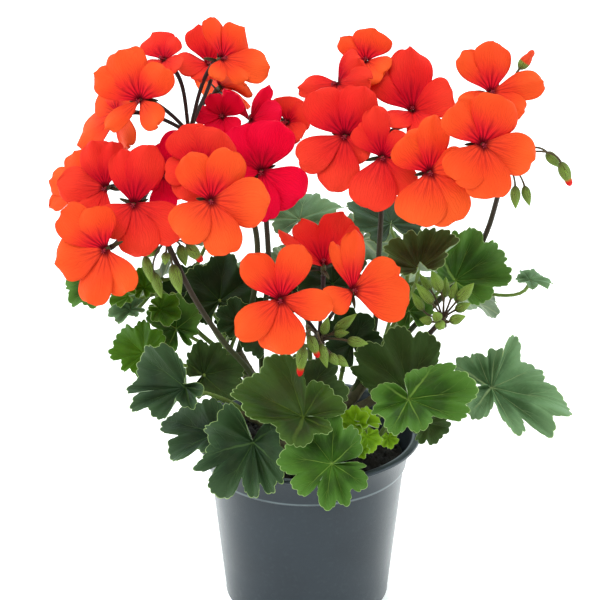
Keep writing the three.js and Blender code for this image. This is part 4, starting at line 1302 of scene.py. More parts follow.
@dataclass
class Blade:
    """One leaf blade, as wide as its radius and lobed around the vein hub."""

    hub: Point
    facing: Point
    midrib: float
    radius: float
    shape: Point
    seed: int
    lobes: Sequence = ()
    tooth_pitch: float = 4.6
    tooth_depth: float = 1.7
    tooth_samples: int = 6
    rings: int = 13
    pleat: float = 0.06
    slit: float = 1.5
    folds: tuple = ()

    def plain_lobes(self, rng: np.random.Generator) -> list:
        """Seven lobes on an oval, for a leaf without an outline of its own.

        Args:
            rng: gives the lobes their small irregularities.

        Returns:
            Lobes as in the table of outlines, with their reach in radii.
        """
        made = []
        for number in range(7):
            middle = VEIN_ANGLE * (number - 3) + rng.uniform(-4, 4)
            notch = VEIN_ANGLE * (number - 3.5) + rng.uniform(-3, 3)
            reach = self.oval(middle) * rng.uniform(0.98, 1.08)
            dip = 0.12 if number == 0 else self.oval(notch) * rng.uniform(0.78, 0.86)
            side = 0.27 * VEIN_ANGLE
            made.append([(notch, dip), (middle - side, reach * 0.95), (middle, reach),
                         (middle + side, reach * 0.95)])
        return made

    def oval(self, degrees: float) -> float:
        """Reach of the oval that the lobes follow, in radii."""
        basal = self.shape[3]
        return (1 + basal) / 2 + (1 - basal) / 2 * math.cos(math.radians(degrees))

    def outline(self, rng: np.random.Generator) -> tuple[Array, Array]:
        """Scalloped outline in the blade's plane.

        Args:
            rng: gives the outline its small irregularities.

        Returns:
            Points of the outline in radii, and how far round each is, counted in lobes.
        """
        lobes = self.lobes or self.plain_lobes(rng)
        first = lobes[0][0]
        ends = [lobe[0] for lobe in lobes[1:]] + [(first[0] + 360 - self.slit, first[1])]
        points, counts = [], []
        dense = np.linspace(0, 1, 60)
        for number, (lobe, end) in enumerate(zip(lobes, ends)):
            corners = [(r * math.cos(math.radians(a)), r * math.sin(math.radians(a)), 0)
                       for a, r in [*lobe, end]]
            points.append(spline(corners, dense)[:-1, :2])
            counts.append(number + dense[:-1])
        rough, count = np.concatenate(points), np.concatenate(counts)
        run = np.concatenate([[0], np.cumsum(np.linalg.norm(np.diff(rough, axis=0), axis=1))])
        teeth = max(12, int(run[-1] * self.radius / self.tooth_pitch))
        even = np.linspace(0, run[-1], teeth * self.tooth_samples + 1)
        x, y = np.interp(even, run, rough[:, 0]), np.interp(even, run, rough[:, 1])
        tooth = teeth * even / run[-1]
        wobble = tooth + 0.16 * np.sin(1.7 * tooth + rng.uniform(0, 6)) + 0.1 * np.sin(0.7 * tooth)
        depth = self.tooth_depth / self.radius * (0.75 + 0.5 * rng.uniform(size=teeth + 2))
        cut = depth[np.clip(wobble, 0, teeth).astype(int)] * (1 - np.abs(np.sin(math.pi * wobble)) ** 0.55)
        reach = np.hypot(x, y)
        keep = 1 - np.minimum(0.3, cut / np.maximum(reach, 0.2)) * smooth(0.15, 0.35, reach)
        return np.stack([x * keep, y * keep], axis=-1), np.interp(even, run, count)

    def relief(self, x: Array, y: Array, share: Array, count: Array,
               rng: np.random.Generator) -> Array:
        """Height of the blade over its plane: cup, folds, pleats and waves.

        Args:
            x: places along the midrib in radii, rings by points of the outline.
            y: places across it.
            share: of the way to the edge, one for each ring, as a column.
            count: how far round each point of the outline is, counted in lobes.
            rng: gives the blade its small irregularities.

        Returns:
            A height in radii for each place.
        """
        cup, fold, droop, _ = self.shape
        turn = np.arctan2(y[-1], x[-1])
        phases = rng.uniform(0, 2 * math.pi, 6)
        lifted = cup * share**2 + fold * share * np.sqrt(np.sin(turn) ** 2 + 0.015)
        lifted = lifted - droop * (share * np.maximum(0, np.cos(turn))) ** 2
        for ray, height, spread in self.folds:
            off = (np.degrees(turn) - ray + 180) % 360 - 180
            lifted = lifted + height * share * np.exp(-((off / spread) ** 2))
        bends = rng.uniform(-0.09, 0.07, 12)
        lifted = lifted + np.interp(count, np.arange(12) + 0.5, bends) * share**2 - 0.05 * share**6
        bulge = np.abs(np.sin(math.pi * (count - 0.5))) ** 1.3
        lifted = lifted + 2 * self.pleat * np.hypot(x, y) * (bulge - 0.5)
        wave = 0.03 * np.sin(3 * turn + phases[0]) + 0.02 * np.sin(5 * turn + phases[1])
        frill = (0.016 * np.sin(2.2 * math.pi * count + phases[2])
                 + 0.01 * np.sin(6.5 * math.pi * count + phases[3]))
        ends = np.minimum(count, count[-1] - count)
        lifted = lifted + wave * share**2 + frill * smooth(0.55, 1.0, share) * smooth(0, 0.5, ends)
        lifted = lifted + 0.013 * np.sin(9 * x + phases[4]) * np.sin(8 * y + phases[5])
        return lifted + 0.05 * (count < 1) * share * (1 - smooth(0, 1, count))

    def add_to(self, mesh: PieceMesh, upper: int, under: int) -> None:
        """Adds the blade to a piece.

        Args:
            mesh: the piece.
            upper: number of the finish of the upper side.
            under: number of the finish of the under side.
        """
        rng = np.random.default_rng(self.seed)
        right, up, out = face_frame(self.facing)
        along = spoke(right, up, math.radians(self.midrib))
        edge, count = self.outline(rng)
        share = np.linspace(0.002, 1.0, self.rings) ** 0.85
        share = np.append(share[:-1], [0.965, 1.0])[:, None]
        x, y = share * edge[:, 0], share * edge[:, 1]
        lifted = self.relief(x, y, share, count, rng)
        middle = vec(self.hub) + self.radius * lay(0.0, (along, x), (np.cross(along, out), y), (out, lifted))
        thickness = BLADE_THICKNESS * (1.0 - 0.55 * share**3)
        mesh.add_sheet(middle, triples(count - 0.5, np.hypot(x, y), share), thickness, (upper, under), out)


def arc(start: Array, leaving: Array, end: Array, arriving: Array, steps: int) -> Array:
    """Path of a stalk.

    Args:
        start: where it starts.
        leaving: the direction that it leaves its start in.
        end: where it ends.
        arriving: the direction that it meets its end in.
        steps: points on the path.

    Returns:
        The points.
    """
    reach = float(np.linalg.norm(end - start))
    controls = [start, start + leaving * 0.35 * reach, end - arriving * 0.35 * reach, end]
    return bezier(controls, np.linspace(0, 1, steps))


def rod_radii(count: int, start: float, end: float, swell: float = 0.0) -> Array:
    """Radii along a rod that may swell at both ends."""
    share = np.linspace(0, 1, count)
    return (start + (end - start) * share) * (1 + swell * (2 * share - 1) ** 4)


def branch_point(name: str, share: float) -> Array:
    """The point at a share of a branch's length."""
    return bezier([vec(p) for p in BRANCHES[name]], share)[0]


@dataclass
class Foliage:
    """The single leaves and the leafy shoots; their finishes are upper side, underside, petiole."""

    finishes: Finishes
    petiole_steps: int = 18
    shoot_steps: int = 24

    def build(self) -> None:
        """Makes every leaf and shoot."""
        for number, (name, entry) in enumerate(LEAVES.items()):
            self.build_leaf(name, entry, LEAF_SEED + number)
        for number, (name, entry) in enumerate(SHOOTS.items()):
            self.build_shoot(name, entry, SHOOT_SEED + 10 * number)

    def add_petiole(self, mesh: PieceMesh, start: Array, hub: Point, facing: Point) -> None:
        """Adds a petiole, which leaves its stem rising and meets the blade square.

        Args:
            mesh: the piece.
            start: where it leaves the stem.
            hub: the blade's vein hub.
            facing: azimuth and elevation that the blade looks in.
        """
        out = face_frame(facing)[2]
        end = vec(hub) + out * 0.15
        rise = 0.65 * unit(end - start) + 0.35 * vec((0, 0, 1))
        path = arc(start, rise, end, out, self.petiole_steps)
        mesh.add_rod(path, rod_radii(len(path), PETIOLE_RADIUS * 1.1, PETIOLE_RADIUS * 0.8, 0.3), 2)

    def build_leaf(self, name: str, entry: tuple, seed: int) -> None:
        """Makes one leaf with its petiole.

        Args:
            name: of the leaf.
            entry: its row in LEAVES.
            seed: of its random draws.
        """
        hub, facing, midrib, radius, shape, branch, share, tone = entry
        mesh = PieceMesh()
        lobes = [[(angle, reach / 100) for angle, reach in lobe] for lobe in OUTLINES.get(name, [])]
        blade = Blade(hub, facing, midrib, radius, shape, seed, lobes, folds=FOLDS.get(name, ()))
        blade.add_to(mesh, 0, 1)
        self.add_petiole(mesh, branch_point(branch, share), hub, facing)
        materials = self.finishes.pick(tone, "leaf_underside", "petiole")
        place_piece(mesh.build(f"{name}_blade", materials), name)

    def build_shoot(self, name: str, entry: tuple, seed: int) -> None:
        """Makes one shoot with its stalk and its leaves.

        Args:
            name: of the shoot.
            entry: its row in SHOOTS.
            seed: of its random draws.
        """
        branch, share, points, leaves, slot, tone = entry
        mesh = PieceMesh()
        way = [branch_point(branch, share), *points]
        path = spline(way, np.linspace(0, 1, self.shoot_steps))
        mesh.add_rod(path, rod_radii(len(path), PEDUNCLE_RADIUS, PETIOLE_RADIUS), 2)
        petiole = "young_petiole" if tone is LIME else "petiole"
        materials = self.finishes.pick(tone, "leaf_underside", petiole)
        for number, (hub, facing, midrib, radius, shape, place, *own) in enumerate(leaves):
            materials += self.finishes.pick(*own)
            young = radius < YOUNG_RADIUS
            blade = Blade(hub, facing, midrib, radius, shape, seed + number,
                          tooth_pitch=2.8 if young else 4.6, tooth_depth=0.8 if young else 1.5,
                          tooth_samples=4, rings=9 if young else 12, pleat=0.09 if young else 0.06)
            blade.add_to(mesh, len(materials) - 1 if own else 0, 1)
            self.add_petiole(mesh, spline(way, place)[0], hub, facing)
        place_piece(mesh.build(f"{name}_leaves", materials), name)


@dataclass
class Petal:
    """One petal: a narrow claw that widens to a broad, rounded, slightly ruffled end."""

    angle: float
    length: float
    width: float
    lift: float
    seed: int
    roll: float = 0.0
    curl: float = 0.12
    claw: float = 0.16
    seat: float = 0.8
    upper_from: float = 20.0
    upper_to: float = 160.0
    rows: int = 20
    columns: int = 15

    def add_to(self, mesh: PieceMesh, throat: Array, facing: Point, finish: int) -> None:
        """Adds the petal to a piece.

        Args:
            mesh: the piece.
            throat: the middle of the flower.
            facing: azimuth and elevation that the flower looks in.
            finish: number of the finish.
        """
        rng = np.random.default_rng(self.seed)
        right, up, out = face_frame(facing)
        lift, roll = math.radians(self.lift), math.radians(self.roll)
        way = spoke(right, up, math.radians(self.angle))
        t, s = sheet_shares(self.rows, self.columns)
        t = 1 - (1 - t) ** 1.8
        shoulder = rng.uniform(0.6, 0.7)
        rising = self.claw + (1 - self.claw) * np.sin(0.5 * math.pi * np.minimum(1.0, t / shoulder)) ** 1.35
        past = np.maximum(0.0, (t - shoulder) / (1 - shoulder))
        half = 0.53 * self.width * rising * np.sqrt(np.maximum(0.004, 1 - past ** rng.uniform(2.3, 3.0)))
        phases = rng.uniform(0, 2 * math.pi, 6)
        bend = 0.1 * rng.uniform(-1, 1)
        y = half * s
        x = self.length * (t + t**5 * (0.025 * np.sin(7 * y / self.width + phases[0])
                                       + 0.012 * np.sin(17 * y / self.width + phases[5])))
        y = y + self.length * bend * t**2 * 0.5
        rise = self.length * (t * math.sin(lift) - self.curl * t**2)
        cup = -0.09 * self.width * s**2 * smooth(0.15, 0.8, t)
        crease = 0.012 * self.length * np.cos(4.2 * s + 0.5 * np.sin(phases[1])) * smooth(0, 0.3, t)
        ruffle = 0.03 * self.length * np.sin(3.6 * s + phases[2]) * smooth(0.5, 1, t)
        frill = 0.02 * self.length * np.sin(9 * t + phases[3]) * np.abs(s) ** 2 * np.sign(s)
        twist = math.tan(roll) + rng.uniform(0.1, 0.2)
        z = rise + cup + crease + ruffle + frill + twist * y * math.cos(roll)
        middle = lay(throat, (way, self.seat + x * math.cos(lift)), (np.cross(out, way), y * math.cos(roll)),
                     (out, z))
        upper = self.upper_from < self.angle % 360 < self.upper_to
        mesh.add_sheet(middle, triples(s, t, 1.0 if upper else 0.0), PETAL_THICKNESS, (finish, finish), out)


@dataclass
class Flower:
    """One flower: five petals, the calyx behind them and the pistil in front."""

    throat: Point
    facing: Point
    lift: float
    petals: list[Point]
    seed: int
    sepal_half: float = 0.95
    sepal_thickness: float = 0.35
    column_length: float = 3.4

    def add_calyx(self, mesh: PieceMesh, finish: int) -> None:
        """Adds the calyx cup and its five narrow sepals.

        Args:
            mesh: the piece.
            finish: number of the finish.
        """
        right, up, out = face_frame(self.facing)
        throat = vec(self.throat)
        path = throat + out * np.linspace(-CALYX_LENGTH, 0.0, 9)[:, None]
        radii = CALYX_RADIUS * np.array([0.45, 0.55, 0.72, 0.9, 1.0, 1.0, 0.95, 0.85, 0.6])
        mesh.add_rod(path, radii, finish, 12)
        rng = np.random.default_rng(self.seed)
        turns = sorted(p[0] % 360 for p in self.petals)
        t, s = sheet_shares(9, 5)
        for one, two in zip(turns, turns[1:] + [turns[0] + 360]):
            way = spoke(right, up, math.radians((one + two) / 2))
            length = rng.uniform(6.0, 8.2)
            half = self.sepal_half * np.maximum(0.08, np.sin(math.pi * (0.18 + 0.8 * t)) ** 0.8)
            z = -3.4 + length * (0.1 * t - 0.16 * t**2) + 0.35 * s**2
            middle = lay(throat, (way, 1.0 + length * t * 0.9), (np.cross(out, way), half * s), (out, z))
            mesh.add_sheet(middle, triples(s, t, 0.0), self.sepal_thickness, (finish, finish), out)

    def add_pistil(self, mesh: PieceMesh, finish: int) -> None:
        """Adds the column with its five curled tips.

        Args:
            mesh: the piece.
            finish: number of the finish.
        """
        right, up, out = face_frame(self.facing)
        lean = -0.25 * up
        column = vec(self.throat) + (out + lean) * np.linspace(-0.5, self.column_length, 8)[:, None]
        mesh.add_rod(column, np.linspace(0.6, 0.35, 8), finish, 8)
        t = np.linspace(0, 1, 6)[:, None]
        for number in range(5):
            way = spoke(right, up, 2 * math.pi * number / 5 + 0.3 * self.seed)
            path = column[-1] + way * 1.1 * np.sin(1.9 * t) + out * (0.9 * t - 1.2 * t**2)
            mesh.add_rod(path, np.linspace(0.24, 0.17, 6), finish, 6)

    def build(self, name: str, tone: PetalTone, finishes: Finishes) -> None:
        """Makes the flower as one piece that stands for its CAD node.

        Args:
            name: of the CAD node.
            tone: colour of its petals.
            finishes: all the materials.
        """
        mesh = PieceMesh()
        for number, (angle, length, width, *roll) in enumerate(self.petals):
            petal = Petal(angle, length, width, self.lift, self.seed * 10 + number, *roll)
            petal.add_to(mesh, vec(self.throat), self.facing, 0)
        self.add_calyx(mesh, 1)
        self.add_pistil(mesh, 2)
        made = mesh.build(f"{name}_bloom", finishes.pick(tone, "sepal", "pistil"))
        place_piece(made, name)


@dataclass
class FlowerStalk:
    """A peduncle, its hub with bracts, the pedicels of its flowers and its closed buds."""

    branch: str
    share: float
    points: list[Point]
    flowers: list[str]
    buds: list[tuple]
    seed: int
    bracts: int = 7
    bract_half: float = 1.2
    bract_thickness: float = 0.3
    bud_rings: int = 17
    bud_sides: int = 30

    def add_pedicel(self, mesh: PieceMesh, hub: Array, flower: str, finish: int) -> None:
        """Adds the pedicel of one flower, from the hub to its calyx.

        Args:
            mesh: the piece.
            hub: where it starts.
            flower: name of the flower.
            finish: number of the finish.
        """
        throat, facing = FLOWERS[flower][:2]
        out = face_frame(facing)[2]
        end = vec(throat) - out * (CALYX_LENGTH + 0.1)
        path = arc(hub, unit(unit(end - hub) + vec((0, 0, 0.4))), end, out, 22)
        mesh.add_rod(path, rod_radii(len(path), PEDICEL_RADIUS, PEDICEL_RADIUS * 1.15, 0.35), finish, 9)

    def add_bud(self, mesh: PieceMesh, hub: Array, bud: tuple, finishes: tuple[int, int]) -> None:
        """Adds a closed bud on its thin stalk.

        Args:
            mesh: the piece.
            hub: where the stalk starts.
            bud: middle, direction, length, radius and ripeness.
            finishes: numbers of the finishes of the bud and of its stalk.
        """
        middle, direction, length, radius, ripe = bud
        right, up, out = face_frame(direction)
        t = np.linspace(0.02, 0.985, self.bud_rings)[:, None]
        turn = ring_turns(self.bud_sides)
        swell = np.sin(math.pi * t**0.8) ** 0.75 * (1 - 0.35 * t**2)
        swell = np.maximum(swell, min(ripe, 1) * 0.62 * smooth(0.5, 0.8, t) * np.sqrt(1 - t**10))
        seam = 1 - 0.1 * np.abs(np.cos(2.5 * turn)) ** 6 * smooth(0.1, 0.4, t)
        r = radius * 1.12 * swell * seam
        grid = lay(vec(middle), (out, (t - 0.5) * length), (right, r * np.cos(turn)), (up, r * np.sin(turn)))
        tips = [vec(middle) + out * share * length for share in (-0.5, 0.5)]
        mesh.add_shell(grid, triples(turn / math.pi - 1, t, float(ripe)), tips, finishes[0])
        foot = vec(middle) - out * 0.47 * length
        reach = float(np.linalg.norm(foot - hub))
        path = bezier([hub, foot - out * 0.4 * reach, foot], np.linspace(0, 1, 16))
        radii = rod_radii(len(path), BUD_STALK_RADIUS * 1.1, BUD_STALK_RADIUS, 0.3)
        mesh.add_rod(path, radii, finishes[1], 8)

    def add_hub(self, mesh: PieceMesh, hub: Array, along: Array, finish: int) -> None:
        """Adds the knob that the pedicels leave from, with a ring of small bracts.

        Args:
            mesh: the piece.
            hub: the middle of the knob.
            along: the direction of the stalk below it.
            finish: number of the finish.
        """
        path = hub + along * np.linspace(-2.6, 1.8, 9)[:, None]
        radii = HUB_RADIUS * np.array([0.6, 0.72, 0.82, 0.9, 0.92, 0.88, 0.75, 0.5, 0.15])
        mesh.add_rod(path, radii * 0.8, finish, 12)
        rng = np.random.default_rng(self.seed)
        across, over = cross_frames(path)
        t, s = sheet_shares(7, 4)
        for number in range(self.bracts):
            angle = 2 * math.pi * number / self.bracts + rng.uniform(-0.2, 0.2)
            way = spoke(across[0], over[0], angle)
            length = rng.uniform(3.5, 5.0)
            half = self.bract_half * np.maximum(0.1, np.sin(math.pi * (0.3 + 0.68 * t)))
            z = -1.2 + length * (0.55 * t - 0.5 * t**2)
            middle = lay(hub, (way, 1.8 + length * 0.75 * t), (np.cross(along, way), half * s), (along, z))
            mesh.add_sheet(middle, triples(s, t, 0.0), self.bract_thickness, (finish, finish), along)

    def build(self, name: str, finishes: Finishes) -> None:
        """Makes the stalk as one piece that stands for its CAD node.

        Args:
            name: of the CAD node.
            finishes: all the materials.
        """
        mesh = PieceMesh()
        way = [branch_point(self.branch, self.share), *self.points]
        path = spline(way, np.linspace(0, 1, 16 * len(self.points)))
        mesh.add_rod(path, rod_radii(len(path), PEDUNCLE_RADIUS * 1.1, PEDUNCLE_RADIUS * 0.9), 0, 14)
        hub = vec(self.points[-1])
        self.add_hub(mesh, hub, unit(path[-1] - path[-2]), 3)
        for flower in self.flowers:
            self.add_pedicel(mesh, hub, flower, 1)
        for bud in self.buds:
            self.add_bud(mesh, hub, bud, (2, 4))
        materials = finishes.pick("flower_stalk", "pedicel", "bud", "sepal", "bud_stalk")
        place_piece(mesh.build(f"{name}_umbel", materials), name)


@dataclass
class WoodyStem:
    """The branching stem with its rings of old leaf scars."""

    sides: int = 20
    steps: int = 44
    scar_spacing: float = 6.5
    seed: int = 7

    def build(self, finishes: Finishes) -> None:
        """Makes the stem as one piece that stands for its CAD node.

        Args:
            finishes: all the materials.
        """
        mesh = PieceMesh()
        rng = np.random.default_rng(self.seed)
        turn = ring_turns(self.sides)
        for name, points in BRANCHES.items():
            foot, end = (1.6, 1.2) if name == "trunk" else (1.12, 0.78)
            path = bezier([vec(p) for p in points], np.linspace(0, 1, self.steps))
            run = np.linspace(0, float(np.linalg.norm(vec(points[-1]) - vec(points[0]))), self.steps)[:, None]
            ring = np.exp(-((((run / self.scar_spacing + rng.uniform()) % 1.0) - 0.5) / 0.1) ** 2)
            phases = rng.uniform(0, 2 * math.pi, 3)
            knobs = (1 + 0.1 * ring * (1 + 0.6 * np.cos(turn + run * 0.9 + phases[0]))
                     + 0.04 * np.sin(3 * turn + run * 0.35 + phases[1])
                     + 0.025 * np.sin(5 * turn - run * 0.8 + phases[2]))
            mesh.add_rod(path, np.linspace(foot, end, self.steps) * BRANCH_RADIUS, 0, self.sides, knobs)
        place_piece(mesh.build("stem_branches", finishes.pick("woody_stem")), "stem")


@dataclass
class Soil:
    """The root ball: a dome of dark crumbly potting soil and what lies loose on it."""

    top: float = 92.0
    dome: float = 3.0
    top_radius: float = 50.2
    side: tuple = ((49.0, 84.0), (47.0, 76.0), (39.4, 15.0), (34.0, 3.0))
    crumbs: int = 420
    crumb_rings: int = 4
    crumb_sides: int = 7
    rings: int = 46
    sides: int = 150
    seed: int = 31

    def height(self, r: Array) -> Array:
        """Height of the dome at a distance from the middle."""
        edge = smooth(self.top_radius - 4, self.top_radius, r)
        return self.top + self.dome * (1 - smooth(0.0, 1.0, r / self.top_radius)) - 2.2 * edge

    def build(self, finishes: Finishes) -> None:
        """Makes the soil as one piece that stands for its CAD node.

        Args:
            finishes: all the materials.
        """
        mesh = PieceMesh()
        rng = np.random.default_rng(self.seed)
        turn = ring_turns(self.sides)
        r = np.linspace(1.2, self.top_radius, self.rings)[:, None]
        x, y = r * np.cos(turn), r * np.sin(turn)
        bumps = rng.normal(0, 0.55, (self.rings, self.sides))
        for angle, wave, amount in rng.uniform((0, 0.25, 0.3), (6.28, 0.9, 0.7), (9, 3)):
            bumps = bumps + amount * 0.6 * np.sin(wave * spoke(x, y, angle) + 7 * angle)
        fade = 1 - smooth(self.top_radius - 6, self.top_radius, r)
        rows = [triples(x, y, self.height(r) + bumps * (0.25 + 0.75 * fade))]
        for radius, level in self.side:
            rows.append(triples(radius * np.cos(turn), radius * np.sin(turn), level))
        grid = np.concatenate(rows)
        tips = (vec((0, 0, self.top + self.dome)), vec((0, 0, self.side[-1][1])))
        mesh.add_shell(grid, np.zeros_like(grid), tips, 0, True)
        for _ in range(self.crumbs):
            self.add_crumb(mesh, rng)
        place_piece(mesh.build("soil_ball", finishes.pick("potting_soil")), "soil")

    def add_crumb(self, mesh: PieceMesh, rng: np.random.Generator) -> None:
        """Adds one loose crumb, half sunk in the surface.

        Args:
            mesh: the piece.
            rng: gives its place, size and lumps.
        """
        angle = rng.uniform(0, 2 * math.pi)
        reach = self.top_radius * 0.96 * math.sqrt(rng.uniform(0.01, 1))
        size = rng.uniform(0.5, 1.5)
        level = float(self.height(np.array(reach))) + 0.3 * size
        middle = vec((reach * math.cos(angle), reach * math.sin(angle), level))
        t = np.linspace(0.15, 0.85, self.crumb_rings)[:, None] * math.pi
        turn = ring_turns(self.crumb_sides)
        lumps = size * rng.uniform(0.75, 1.25, (self.crumb_rings, self.crumb_sides))
        grid = triples(lumps * np.sin(t) * np.cos(turn), lumps * np.sin(t) * np.sin(turn) * 0.8,
                       -lumps * 0.75 * np.cos(t)) + middle
        tips = [middle + vec((0, 0, side * size * 0.75)) for side in (-1, 1)]
        mesh.add_shell(grid, np.zeros_like(grid), tips, 0)


@dataclass
class Pot:
    """Moulded nursery pot: stepped foot, tapered wall, collar and flat rim."""

    rim_radius: float = 60.0
    height: float = 105.0
    lip: float = 1.8
    collar_radius: float = 56.0
    collar_height: float = 17.6
    wall_top: float = 51.3
    wall_foot: float = 43.4
    foot_radius: float = 41.5
    foot_height: float = 11.0
    wall: float = 1.4
    base: float = 2.0
    drain_radius: float = 4.0
    drain_circle: float = 24.0
    drains: int = 4
    notches: int = 8
    notch_radius: float = 5.0
    sides: int = 160
    sharp_angle: float = 42.0

    def profile(self) -> Array:
        """Section of the pot from under its base out, up, in and down to the base again.

        Returns:
            Radius and height of each corner.
        """
        foot, step, low, top = self.foot_radius, self.foot_height, self.wall_foot, self.wall_top
        out, rim, high, wall = self.collar_radius, self.rim_radius, self.height, self.wall
        collar, lip = high - self.collar_height, high - self.lip
        return np.array([
            (foot - 3.8, 0.0), (foot - 3.1, 0.25), (foot - 2.9, 0.9), (foot - 0.2, step - 0.8),
            (foot + 0.2, step - 0.2), (low - 0.3, step), (low + 0.2, step + 0.3), (low + 0.3, step + 0.9),
            (low + 0.2, step + 1.6), (low + 2.5, step + 24), (low + 4.9, step + 47),
            (top - 0.3, collar - 2.5), (top, collar - 0.9), (top + 0.7, collar - 0.55), (top + 1.0, collar),
            (top + 1.1, collar + 0.7), (top + 1.6, collar + 3.5), (out - 2.4, collar + 7),
            (out - 1.2, collar + 11), (out - 0.25, lip - 2.2), (out + 0.2, lip - 0.7), (out + 1.2, lip - 0.1),
            (rim - 0.5, lip), (rim, lip + 0.45), (rim, high - 0.6), (rim - 0.25, high - 0.2),
            (rim - 0.8, high), (out + 1.0, high), (out - 0.3, high - 0.5), (out - 1.0, high - 1.6),
            (out - 2.2, lip - 4), (out - 3.2, collar + 8), (top - 0.2, collar + 1),
            (top - wall, collar - 2), (low - wall, step + self.base), (foot - wall, step),
            (foot - 2.5 - wall, self.base),
        ])

    def build(self, finishes: Finishes) -> None:
        """Makes the pot as one piece that stands for its CAD node.

        Args:
            finishes: all the materials.
        """
        mesh = PieceMesh()
        turn = ring_turns(self.sides)
        r, z = self.profile().T[..., None]
        grid = triples(r * np.cos(turn), r * np.sin(turn), z)
        mesh.add_shell(grid, np.zeros_like(grid), (vec((0, 0, 0)), vec((0, 0, self.base))), 0)
        pot = mesh.build("pot_shell", finishes.pick("pot_plastic"))
        self.cut_openings(pot)
        pot.data.set_sharp_from_angle(angle=math.radians(self.sharp_angle))
        place_piece(pot, "pot")

    def cut_openings(self, pot: bpy.types.Object) -> None:
        """Cuts the drain holes and the notches of the foot.

        Args:
            pot: the pot, whose mesh is replaced.
        """
        cutter_mesh = PieceMesh()
        ahead, aside, up = np.eye(3)
        for number in range(self.drains):
            middle = self.drain_circle * spoke(ahead, aside, 2 * math.pi * number / self.drains)
            path = middle + up * np.array([-4.0, 0.0, 4.0])[:, None]
            cutter_mesh.add_rod(path, self.drain_radius, 0, 32)
        for number in range(self.notches):
            way = spoke(ahead, aside, 2 * math.pi * (number + 0.5) / self.notches)
            path = way * (self.foot_radius + np.array([-5.5, -1.5, 2.5]))[:, None]
            cutter_mesh.add_rod(path, self.notch_radius, 0, 24)
        cutter = cutter_mesh.build("openings", [])
        cut = pot.modifiers.new("openings", "BOOLEAN")
        cut.operation = "DIFFERENCE"
        cut.object = cutter
        cut.solver = "EXACT"
        depsgraph = bpy.context.evaluated_depsgraph_get()
        made = bpy.data.meshes.new_from_object(pot.evaluated_get(depsgraph))
        pot.modifiers.clear()
        pot.data = made
        bpy.data.objects.remove(cutter)


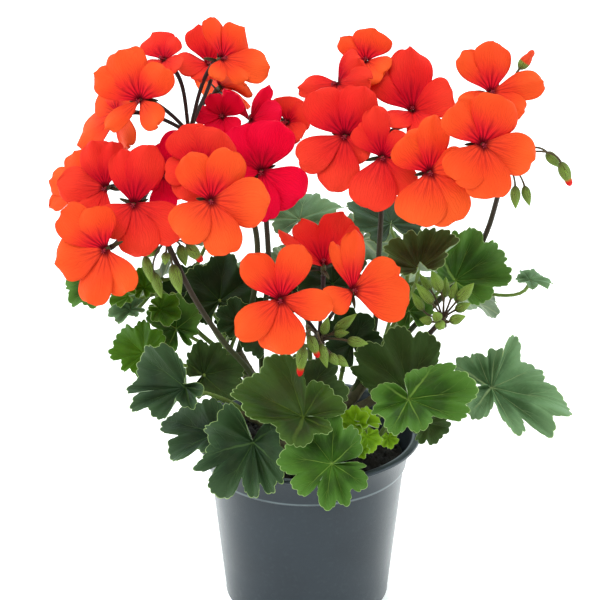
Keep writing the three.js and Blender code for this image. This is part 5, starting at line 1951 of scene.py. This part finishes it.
@dataclass
class Studio:
    """White floor and surroundings, soft lights and the camera of the photograph."""

    camera_place: Point = (-3.7, -984.0, 596.0)
    pitch: float = 23.0
    focal_pixels: float = 2090.0
    picture_pixels: float = 600.0
    sensor: float = 36.0
    floor_half: float = 6.0
    softboxes: tuple = (
        ("key_softbox", (-0.4, -1.0, 1.4), (0, 0, 0.2), 1.0, 17.0),
        ("top_softbox", (0.1, 0.25, 1.5), (0, 0, 0.2), 1.3, 13.0),
        ("left_softbox", (-1.3, 0.15, 0.5), (0, 0, 0.15), 1.3, 13.0),
        ("right_softbox", (1.3, 0.15, 0.5), (0, 0, 0.15), 1.3, 13.0),
    )

    def build(self) -> None:
        """Makes the camera, the floor, the world and the lights."""
        self.build_camera()
        self.build_floor()
        self.build_world()
        for softbox in self.softboxes:
            self.build_light(*softbox)
        view = bpy.context.scene.view_settings
        view.view_transform = "Standard"
        view.look = "None"
        view.exposure = 0.0
        view.gamma = 1.0

    def build_camera(self) -> None:
        """Puts the camera where the photograph was taken from."""
        data = bpy.data.cameras.new("camera")
        data.sensor_width = self.sensor
        data.lens = self.focal_pixels / self.picture_pixels * self.sensor
        data.clip_start = 0.05
        camera = add_object("camera", data)
        camera.location = vec(self.camera_place) * MM
        camera.rotation_euler = (math.radians(90.0 - self.pitch), 0.0, 0.0)
        bpy.context.scene.camera = camera

    def build_floor(self) -> None:
        """Lays a large white floor."""
        mesh = bpy.data.meshes.new("floor")
        half = self.floor_half
        corners = [(-half, -half, 0), (half, -half, 0), (half, half, 0), (-half, half, 0)]
        mesh.from_pydata(corners, [], [(0, 1, 2, 3)])
        wire = Surface("white_floor")
        where = wire.point()
        tint = wire.ramp(wire.noise(where, 3.0, 2.0), 0.3, 0.7)
        rays = wire.node("ShaderNodeLightPath").outputs
        behind = wire.ramp(wire.split(where)[1], -0.06, 0.06, 0.0, 0.9)
        strength = wire.times_plus(rays["Is Glossy Ray"], behind, 0.55)
        away = wire.node("ShaderNodeVectorMath", {"operation": "LENGTH"}, Vector=where).outputs["Value"]
        strength = wire.times_plus(rays["Is Camera Ray"], wire.ramp(away, 0.3, 1.5, 0.0, 0.6), strength)
        wire.set(Base_Color=wire.mix(tint, (0.9, 0.9, 0.9, 1), (0.93, 0.93, 0.93, 1)), Roughness=0.6,
                 Specular_IOR_Level=0.1, Emission_Color=(0.95, 1, 1, 1), Emission_Strength=strength)
        mesh.materials.append(wire.material)
        add_object("floor", mesh)

    @staticmethod
    def build_world() -> None:
        """Surrounds the plant with white that lights it softly and is dimmer in front."""
        world = bpy.data.worlds.new("white_surroundings")
        world.use_nodes = True
        bpy.context.scene.world = world
        wire = Wiring(world.node_tree)
        background = world.node_tree.nodes["Background"]
        rays = wire.node("ShaderNodeLightPath").outputs
        strength = wire.times_plus(rays["Is Camera Ray"], 0.8, 0.25)
        way = wire.split(wire.node("ShaderNodeTexCoord").outputs["Generated"])
        around = wire.ramp(way[1], -0.95, 0.5, 0.35, 1.8)
        strength = wire.times_plus(rays["Is Glossy Ray"], around, strength)
        tint = wire.mix(rays["Is Glossy Ray"], (1.0, 1.0, 1.0, 1.0), (0.8, 0.96, 0.98, 1.0))
        wire.plug(background.inputs["Color"], tint)
        wire.plug(background.inputs["Strength"], strength)

    @staticmethod
    def build_light(name: str, place: Point, aim: Point, size: float, power: float) -> None:
        """Adds a square softbox.

        Args:
            name: of the light.
            place: where it hangs, in metres.
            aim: the point that it looks at, in metres.
            size: its side in metres.
            power: in watts.
        """
        data = bpy.data.lights.new(name, "AREA")
        data.size = size
        data.energy = power
        data.color = (0.95, 1.0, 1.0)
        light = add_object(name, data)
        light.location = place
        light.rotation_euler = (Vector(aim) - Vector(place)).to_track_quat("-Z", "Y").to_euler()


def write_sizes() -> None:
    """Brings the view layer up to date."""
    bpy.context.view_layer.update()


def main() -> None:
    """Builds the studio, the pot and the plant, and reports each piece."""
    logging.basicConfig(level=logging.INFO, format="%(message)s")
    Studio().build()
    finishes = Finishes()
    Pot().build(finishes)
    Soil().build(finishes)
    WoodyStem().build(finishes)
    Foliage(finishes).build()
    for number, (name, (*pose, tone, petals)) in enumerate(FLOWERS.items()):
        Flower(*pose, petals, FLOWER_SEED + number).build(name, tone, finishes)
    for number, (name, entry) in enumerate(STALKS.items()):
        FlowerStalk(*entry, seed=STALK_SEED + number).build(name, finishes)
    write_sizes()


if __name__ == "__main__":
    main()
